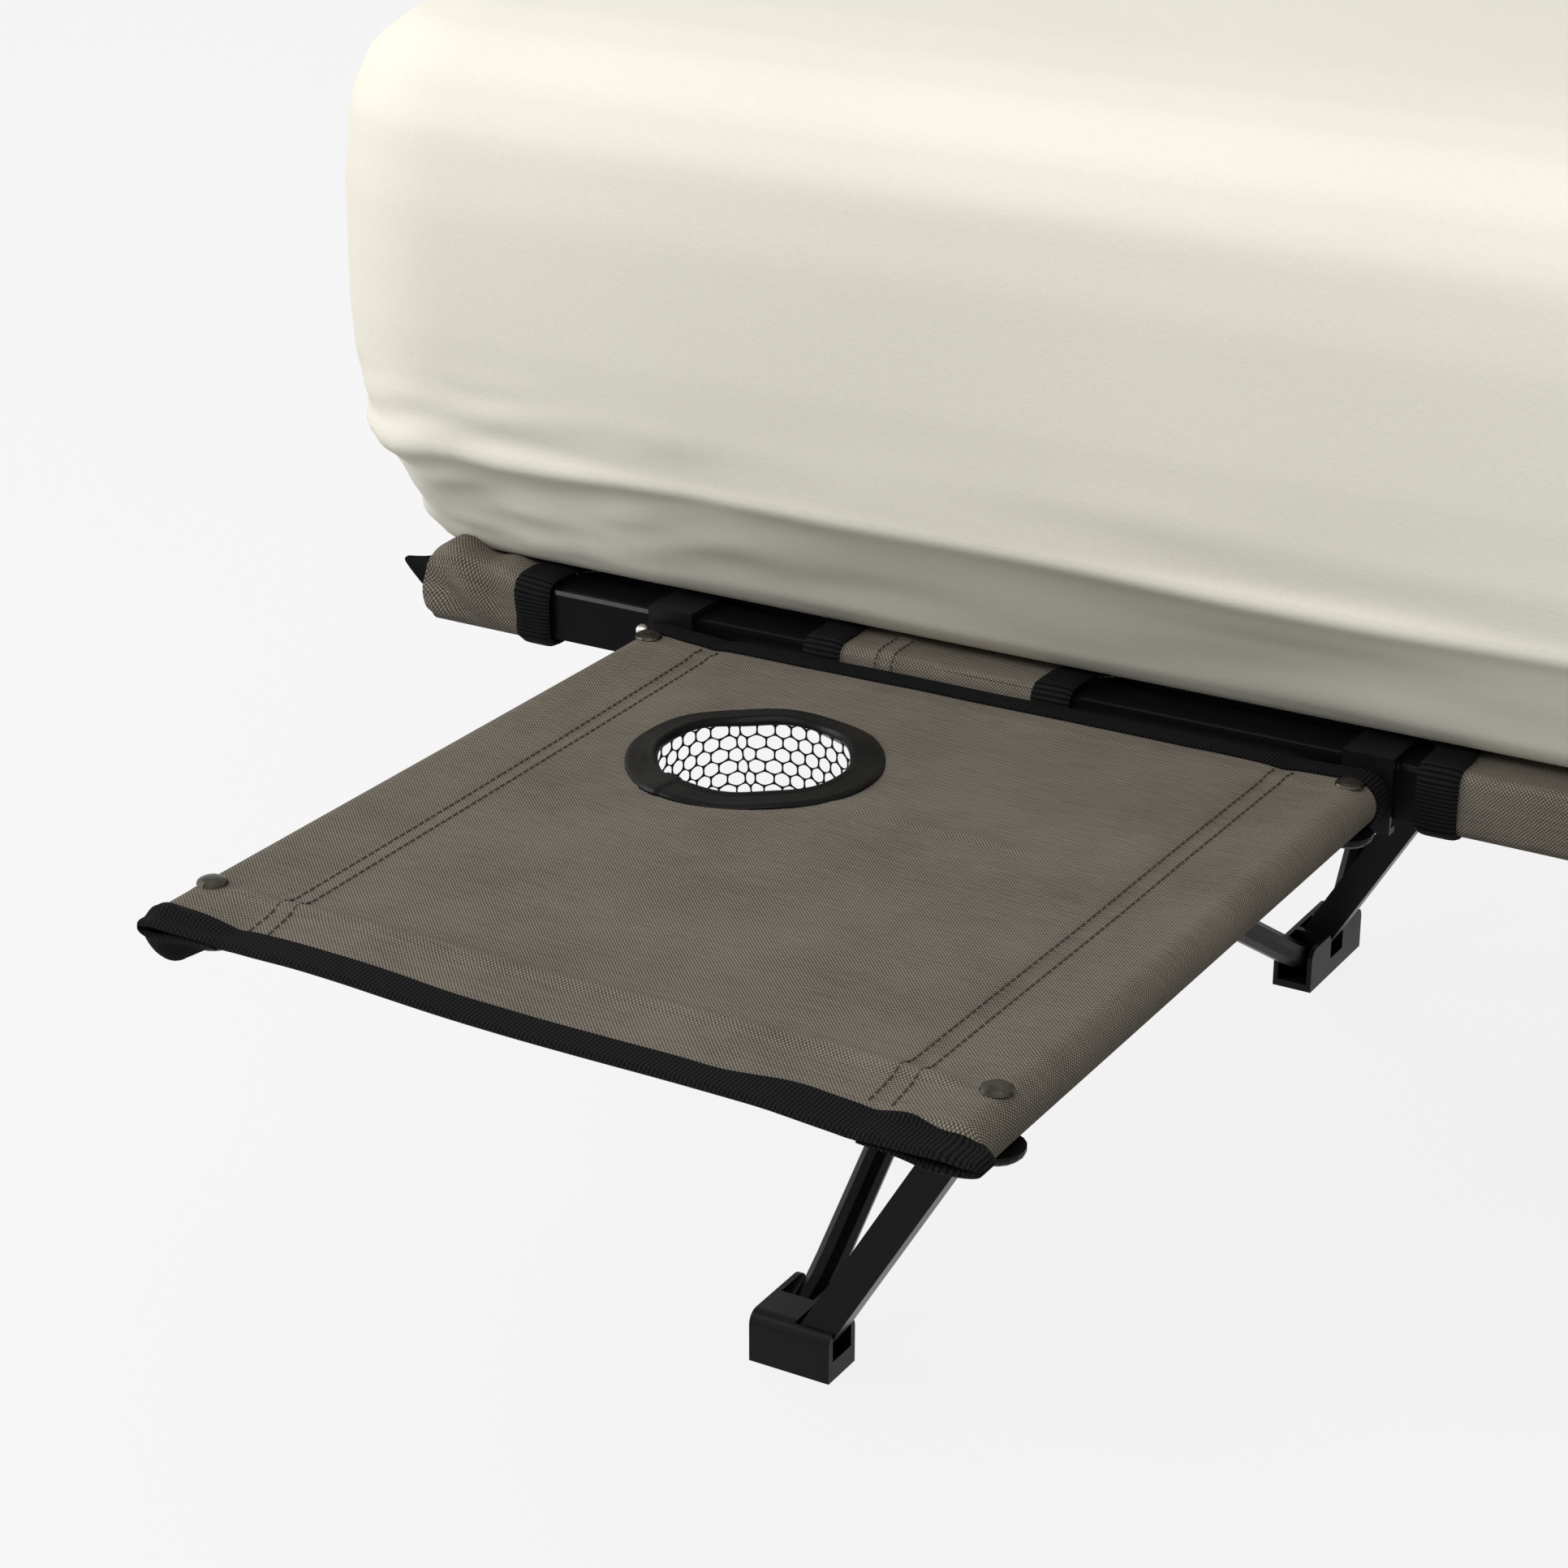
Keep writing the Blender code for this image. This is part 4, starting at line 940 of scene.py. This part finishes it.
# %% [markdown]
# ## The side table's top
#
# The top is the same cloth, sewn into a sleeve round each side tube. It is pulled flat between the
# tubes, and keeps the marks of its folding: a crease along the outer edge, one along the inner edge and
# a faint one past the cup. The section is drawn once, from the seam, round the tube and over the top.

# %% Draw the table top's section
LEFT, RIGHT = -0.8345, -0.5245
MIDDLE = (LEFT + RIGHT) / 2
TUBE_Z = 0.3350
TUBE_R = 0.0080
TUBE_END = -0.8412
TOP_Z = 0.3443
INNER_Y = -0.5143
OUTER_Y = -0.8528
SEAM = 0.0290
FLAP_Z = TOP_Z - 0.0024
# The cloth's outer edge waves as it does in the photograph
EDGE_X = (-0.8345, -0.7620, -0.7265, -0.6600, -0.6000, -0.5686, -0.5454, -0.5245)
EDGE_Y = (-0.8492, -0.8490, -0.8512, -0.8530, -0.8540, -0.8568, -0.8584, -0.8570)


def table_section():
    """Half of the section, from the seam on the underside, round the tube, to the table's middle."""
    radius = TUBE_R + PROUD
    low, up = radians(-52), radians(-270)
    start = np.array([radius * cos(low), radius * sin(low) + TUBE_Z])
    seam = np.array([SEAM, FLAP_Z])
    points = [seam] + [seam + (start - seam) * f for f in np.linspace(0.25, 1.0, 5)]
    points += [(radius * cos(a), TUBE_Z + radius * sin(a)) for a in np.linspace(low, up, 34)[1:]]
    points += [(0.006, TOP_Z - 0.0007), (0.014, TOP_Z - 0.0012), (0.022, TOP_Z - 0.0015),
               (0.034, TOP_Z - 0.0014), (0.060, TOP_Z - 0.0010), (0.155, TOP_Z - 0.0010)]
    points = np.array(points)
    return points, distances(points)


HALF_SECTION, HALF_RUN = table_section()
HALF_CLOTH = HALF_RUN[-1]
CLOTH = 2 * HALF_CLOTH
print("table cloth round its tubes", round(CLOTH, 4))


def table_point(s):
    """X and Z on the section at a distance along the cloth, from the left seam to the right one."""
    half = np.minimum(s, CLOTH - s)
    dx = np.interp(half, HALF_RUN, HALF_SECTION[:, 0])
    z = np.interp(half, HALF_RUN, HALF_SECTION[:, 1])
    x = np.where(s <= HALF_CLOTH, LEFT + dx, RIGHT - dx)
    return x, z


def table_relief(x, y, top):
    """How far the cloth stands up or down from its plain section."""
    between = np.minimum(x - LEFT, RIGHT - x)
    out_fold = OUTER_Y + 0.034 + (x - LEFT) * 0.006
    free = np.maximum(step(0.008, 0.034, between), step(0.0, 1.0, (TUBE_END - y) / 0.004))
    lift = 0.0026 * hump(y, out_fold, 0.0038) - 0.0034 * step(0.0, 1.0, (out_fold - y) / 0.034) * free
    lift += 0.0008 * hump(y, INNER_Y - 0.020, 0.003)
    cup_fold = -0.640 - (x + 0.70) * 0.05
    lift += 0.0008 * hump(y, cup_fold, 0.003) * step(-0.70, -0.66, x) * (1 - step(-0.60, -0.56, x))
    lift -= 0.0007 * (hump(x, LEFT + SEAM, 0.0045) + hump(x, RIGHT - SEAM, 0.0045))
    p = np.stack([x, y, np.zeros_like(x)], axis=1)
    lift += 0.0005 * wobble(p, 14.0, 21) + 0.0009 * wobble(p * (1.0, 0.5, 1.0), 7.0, 22)
    tight = (1 - step(0.006, 0.018, between)) * (y > TUBE_END)
    return lift * top * (1 - 0.9 * tight)


def outer_edge(x):
    """Y of the cloth's outer edge, smoothed."""
    return sum(np.interp(x + shift, EDGE_X, EDGE_Y) for shift in (-0.016, -0.008, 0.0, 0.008, 0.016)) / 5


def table_form(u, v):
    s = u * CLOTH
    x, z = table_point(s)
    y = INNER_Y + (outer_edge(x) - INNER_Y) * v
    from_seam = np.minimum(s, CLOTH - s)
    on_top = step(TOP_Z - 0.006, TOP_Z - 0.002, z)
    top = np.where(from_seam < 0.030, 1 - step(0.004, 0.022, from_seam), on_top)
    z = z + table_relief(x, y, top)
    right = x > MIDDLE
    out = np.where(right, x - RIGHT, LEFT - x)
    mouth = step(0.0, 1.0, (TUBE_END + 0.0004 - y) / 0.008)
    outward = np.clip(out / (TUBE_R + PROUD), 0.0, 1.0)
    flat_z = TOP_Z - np.where(right, 0.0045, 0.0030)
    z = z + (flat_z - z) * mouth * step(-0.045, -0.020, out) * 0.70
    x = x + np.where(right, 0.0058, 0.0030) * mouth * outward
    return np.stack([x, y, z])


def table_raised(u, v, lift):
    """A place on the table cloth, raised off its face."""
    near = 0.0014 / CLOTH
    before, after = table_form(np.clip(u - near, 0, 1), v), table_form(np.clip(u + near, 0, 1), v)
    tx, tz = after[0] - before[0], after[2] - before[2]
    size = np.hypot(tx, tz) + 1e-9
    place = table_form(u, v)
    return np.stack([place[0] - tz / size * lift, place[1], place[2] + tx / size * lift])


# %% Lay the table top, and cut the cup's hole
CUP = (-0.730, -0.6193)
CUP_R = 0.0415

table = lay(300, 150, table_form, lambda u, v: (u * CLOTH, v * (INNER_Y - OUTER_Y)))
alone(table)
bpy.ops.object.mode_set(mode="EDIT")
bpy.ops.mesh.select_all(action="DESELECT")
bpy.ops.object.mode_set(mode="OBJECT")
for polygon in table.data.polygons:
    middle = polygon.center
    inside = sqrt((middle.x - CUP[0]) ** 2 + (middle.y - CUP[1]) ** 2) < CUP_R
    polygon.select = inside and middle.z > TOP_Z - 0.006
bpy.ops.object.mode_set(mode="EDIT")
bpy.ops.mesh.delete(type="FACE")
bpy.ops.object.mode_set(mode="OBJECT")
thicken(table, 0.0009)
smooth(table, 60)
dress(table, "table_fabric", TAUPE, "table", "table_cloth")

# %% [markdown]
# ## Bindings of the table
#
# Both free edges are bound with black webbing, folded over the cloth and sewn through. The band follows
# the same relief as the cloth under it, a little further out.


# %% Bind the two edges
def edge_band(outer, width, seed):
    """Webbing folded over an edge of the table top. It starts and ends just short of the cloth's seams."""
    cloth_gap = 0.00115

    def form(u, v):
        at = 0.006 + u * 0.988
        x = table_point(at * CLOTH)[0]
        edge = outer_edge(x) - 0.0012 if outer else np.full_like(x, INNER_Y + 0.0012)
        turn = v * 2 - 1
        across = np.abs(turn)
        wide = width + 0.0055 * step(-0.615, -0.575, x) * (1 - 0.5 * step(-0.545, -0.525, x)) * outer
        y = edge + (1 if outer else -1) * across * wide
        wave = wobble(np.stack([x, across * 0, across * 0], axis=1), 34.0, seed) * 0.0008 * across
        depth = np.clip((y - INNER_Y) / (outer_edge(x) - INNER_Y), 0, 1)
        out = np.maximum(x - RIGHT, LEFT - x)
        tucked = step(-0.045, -0.020, out) * step(0.35, 0.6, across)
        lift = np.where(turn > 0, cloth_gap, -cloth_gap * (1 - 0.8 * tucked)) * step(0.0, 0.14, across)
        place = table_raised(at, depth, lift)
        place[1] = y + wave
        return place

    band = lay(300, 32, form, lambda u, v: (u * CLOTH, v * 2 * width))
    return smooth(thicken(band, 0.0009), 60)


for edge, outer, width, seed in (("inner", False, 0.0120, 31), ("outer", True, 0.0118, 32)):
    band = edge_band(outer, width, seed)
    dress(band, f"table_{edge}_binding", WEBBING, "table", f"table_binding_{edge}")

# %% [markdown]
# ## The cup holder
#
# A ring of shiny binding is sewn round the hole, its two ends lapped over each other. The pocket is
# knotted mesh with six-sided holes, and light falls through it, so each strand is modelled.


# %% Bind the cup's hole
RING_R = 0.0437
RING_START = 4.25  # the angle where its two ends lap


def ring_form(u, v):
    """The tape: a flattened tube round the hole, with a raised inner lip and a crease along it."""
    angle, turn = u * 2 * pi, v * 2 * pi
    lap = 1 - step(0.030, 0.034, u)
    half_w = 0.0066 + 0.0004 * np.sin(angle * 3 + 1.0) + 0.0007 * lap
    half_t = 0.0019 + 0.0003 * np.sin(angle * 5) + 0.0007 * lap
    across = np.sign(np.cos(turn)) * np.abs(np.cos(turn)) ** 0.8
    radius = RING_R + half_w * across + 0.0006 * np.sin(angle * 4 + 0.6)
    lip = (0.0013 * hump(across, -0.72, 0.22) - 0.0004 * hump(across, 0.35, 0.15)) * (np.sin(turn) > 0)
    z = TOP_Z - 0.0006 + half_t * np.sin(turn) + 0.0004 * np.sin(angle * 7) + lip
    around = angle + RING_START
    return np.stack([CUP[0] + radius * np.cos(around), CUP[1] + radius * np.sin(around), z])


ring = lay(260, 32, ring_form, lambda u, v: (v * 0.03, u * 0.27))
weld(ring, 0.00008)
face_out(ring)
dress(smooth(ring, 80), "cup_binding", TAPE, "table", "cup_rim")


# %% Knot the mesh pocket
def hex_sheet(columns, rows):
    """A sheet of six-sided cells between 0 and 1, as a list of points and edges."""
    points, edges, index = [], [], {}

    def add(a, b):
        key = (round(a % 1.0, 5), round(b, 5))
        if key not in index:
            index[key] = len(points)
            points.append(key)
        return index[key]

    hexagon = [(0.5, 1 / 3), (0.0, 2 / 3), (-0.5, 1 / 3), (-0.5, -1 / 3), (0.0, -2 / 3), (0.5, -1 / 3)]
    for row in range(rows):
        for column in range(columns):
            middle = (column + 0.5 * (row % 2)) / columns
            cell = [add(middle + a / columns, (row + b + 2 / 3) / (rows + 1 / 3)) for a, b in hexagon]
            for pair in zip(cell, cell[1:] + cell[:1]):
                edges.append(tuple(sorted(pair)))
    return points, sorted(set(edges))


MOUTH_R, FLOOR_R, DEPTH = 0.0395, 0.0355, 0.078
WALL = DEPTH / (DEPTH + FLOOR_R)  # the share of the way from the mouth to the floor's middle


def pocket_place(a, b):
    """A point of the pocket's wall: a is round it, b from its mouth down. Some cells are squeezed."""
    for line, squeeze in ((0.365 - 0.10 * b, 0.013), (0.13 + 0.05 * b, 0.020), (0.545 - 0.05 * b, 0.020)):
        off = (a - line) / 0.024
        a = a - squeeze * off * exp(-off * off)
    angle = a * 2 * pi
    f = b / WALL
    radius = (MOUTH_R + (FLOOR_R - MOUTH_R) * f) * (1 + 0.05 * sin(f * 9 + angle * 2) * f)
    z = TOP_Z - 0.001 - (DEPTH + 0.003) * f
    return Vector((CUP[0] + radius * cos(angle), CUP[1] + radius * sin(angle), z))


def net(points, edges, thickness, name):
    """Strands along edges, each thicker at its knots."""
    verts, faces = [], []
    for first, second in edges:
        a, b = points[first], points[second]
        along = (b - a).normalized()
        side_a = along.orthogonal().normalized()
        side_b = along.cross(side_a)
        start = len(verts)
        for share, girth in ((-0.05, 1.9), (0.22, 1.15), (0.5, 0.9), (0.78, 1.15), (1.05, 1.9)):
            centre = a + (b - a) * share
            for k in range(4):
                turn = k * pi / 2
                verts.append(tuple(centre + (side_a * cos(turn) + side_b * sin(turn)) * thickness * girth))
        for k in range(16):
            m = k - 3 if k % 4 == 3 else k + 1
            faces.append((start + k, start + m, start + 4 + m, start + 4 + k))
        faces.append((start + 3, start + 2, start + 1, start))
        faces.append((start + 16, start + 17, start + 18, start + 19))
    return from_lists(name, verts, faces)


cells, strands = hex_sheet(38, 15)
wall_net = net([pocket_place(a, b * 0.66) for a, b in cells], strands, 0.00036, "wall_net")

PITCH = 0.0062
floor_cells, floor_index, floor_strands = [], {}, set()
for row in range(-8, 9):
    for column in range(-8, 9):
        cx, cy = (column + 0.5 * (row % 2)) * PITCH, row * PITCH * sqrt(3) / 2
        if cx * cx + cy * cy > 0.0365**2:
            continue
        loop = []
        for a in (pi / 6 + k * pi / 3 for k in range(6)):
            key = (round(cx + PITCH / sqrt(3) * cos(a), 5), round(cy + PITCH / sqrt(3) * sin(a), 5))
            if key not in floor_index:
                floor_index[key] = len(floor_cells)
                floor_cells.append(Vector((CUP[0] + key[0], CUP[1] + key[1], TOP_Z - 0.0815)))
            loop.append(floor_index[key])
        floor_strands.update(tuple(sorted(pair)) for pair in zip(loop, loop[1:] + loop[:1]))
floor_net = net(floor_cells, sorted(floor_strands), 0.00040, "floor_net")
pocket = merge([wall_net, floor_net])
dress(pocket, "mesh_pocket", CORD, "table", "cup_pocket")

# %% [markdown]
# ## Stitches
#
# Two rows of dark thread hold each sleeve of the table shut, and two more cross each end sleeve of the
# deck. Each stitch is a short bevelled bead of thread. One is modelled, and the rest are copies of it.


# %% Sew the stitches
def stitches(paths, length, gap, radius, name):
    """Stitches along lists of points, as one piece."""
    bpy.ops.object.select_all(action="DESELECT")
    bpy.ops.mesh.primitive_cylinder_add(vertices=6, radius=radius, depth=length)
    bead = bpy.context.object
    edit(bead, lambda: bpy.ops.mesh.bevel(offset=radius * 0.5, segments=1))
    base = places_of(bead)
    faces = [tuple(p.vertices) for p in bead.data.polygons]
    bpy.data.objects.remove(bead, do_unlink=True)
    verts, polys = [], []
    for path in paths:
        path = np.array(path)
        run = distances(path)
        at = gap / 2
        while at + length < run[-1]:
            a, b = (np.array([np.interp(end, run, axis) for axis in path.T]) for end in (at, at + length))
            along = Vector(b - a).normalized()
            turn = np.array(along.to_track_quat("Z", "Y").to_matrix())
            placed = base @ turn.T + (a + b) / 2
            start = len(verts)
            verts += [tuple(p) for p in placed]
            polys += [tuple(start + i for i in f) for f in faces]
            at += length + gap
    return from_lists(name, verts, polys)


TOP_FROM = 0.072  # how far along the cloth from its seam its top face starts


def on_table(x, y):
    """The top of the table cloth at a place."""
    grid = np.linspace(0, HALF_CLOTH, 4000)
    grid = grid[grid > TOP_FROM]
    inward = np.interp(grid, HALF_RUN, HALF_SECTION[:, 0])
    s = grid[np.argmin(np.abs(inward - min(x - LEFT, RIGHT - x)))]
    s = s if x < MIDDLE else CLOTH - s
    v = (y - INNER_Y) / (outer_edge(x) - INNER_Y)
    return (x, y, table_form(np.array([s / CLOTH]), np.array([v]))[2, 0] + 0.0007)


ROW_GAP = 0.0072
SEAM_LINES = ((-0.8065, 0.0085), (-0.5520, -0.0030))  # X at the inner edge, and its drift outward
rows = []
for offset in (-ROW_GAP / 2, ROW_GAP / 2):
    for start, drift in SEAM_LINES:
        row = []
        for y in np.linspace(INNER_Y - 0.0125, OUTER_Y + 0.0155, 90):
            f = (INNER_Y - y) / (INNER_Y - OUTER_Y)
            flare = 0.24 * hump(f, 1.0, 0.06) + 0.18 * hump(f, 0.0, 0.05)
            row.append(on_table(start + drift * f + offset * (1 + flare), y))
        rows.append(row)
thread_rows = stitches(rows, 0.0029, 0.0011, 0.00048, "table_stitches")
dress(thread_rows, "table_stitches", THREAD, "table")

sleeve_rows = []
for side in (-1, 1):
    for end in (-1, 1):
        for offset in (0.0015, 0.0090):
            s = np.linspace(0.012, WRAP_LENGTH * 0.62, 50)
            row = round_rail(np.full_like(s, end * (SLEEVE_SEAM + offset)), s, side, 0.0022)
            sleeve_rows.append(row.T)
sleeve_thread = stitches(sleeve_rows, 0.0024, 0.0010, 0.00045, "sleeve_stitches")
dress(sleeve_thread, "sleeve_stitches", THREAD, "frame")

# %% [markdown]
# ## The screw of the left hook
#
# One domed screw of bright metal stands just past the table's corner.

# %% Turn the domed screw
SCREW_AT = (-0.8440, -0.5190, 0.3425)
SCREW_R = 0.0030

bpy.ops.mesh.primitive_uv_sphere_add(segments=32, ring_count=16, radius=SCREW_R, location=SCREW_AT)
screw = bpy.context.object
screw.scale = (1.0, 1.0, 0.8)
bpy.ops.object.transform_apply(location=True, rotation=True, scale=True)
dress(smooth(screw, 60), "hook_screw", BRIGHT, "table")
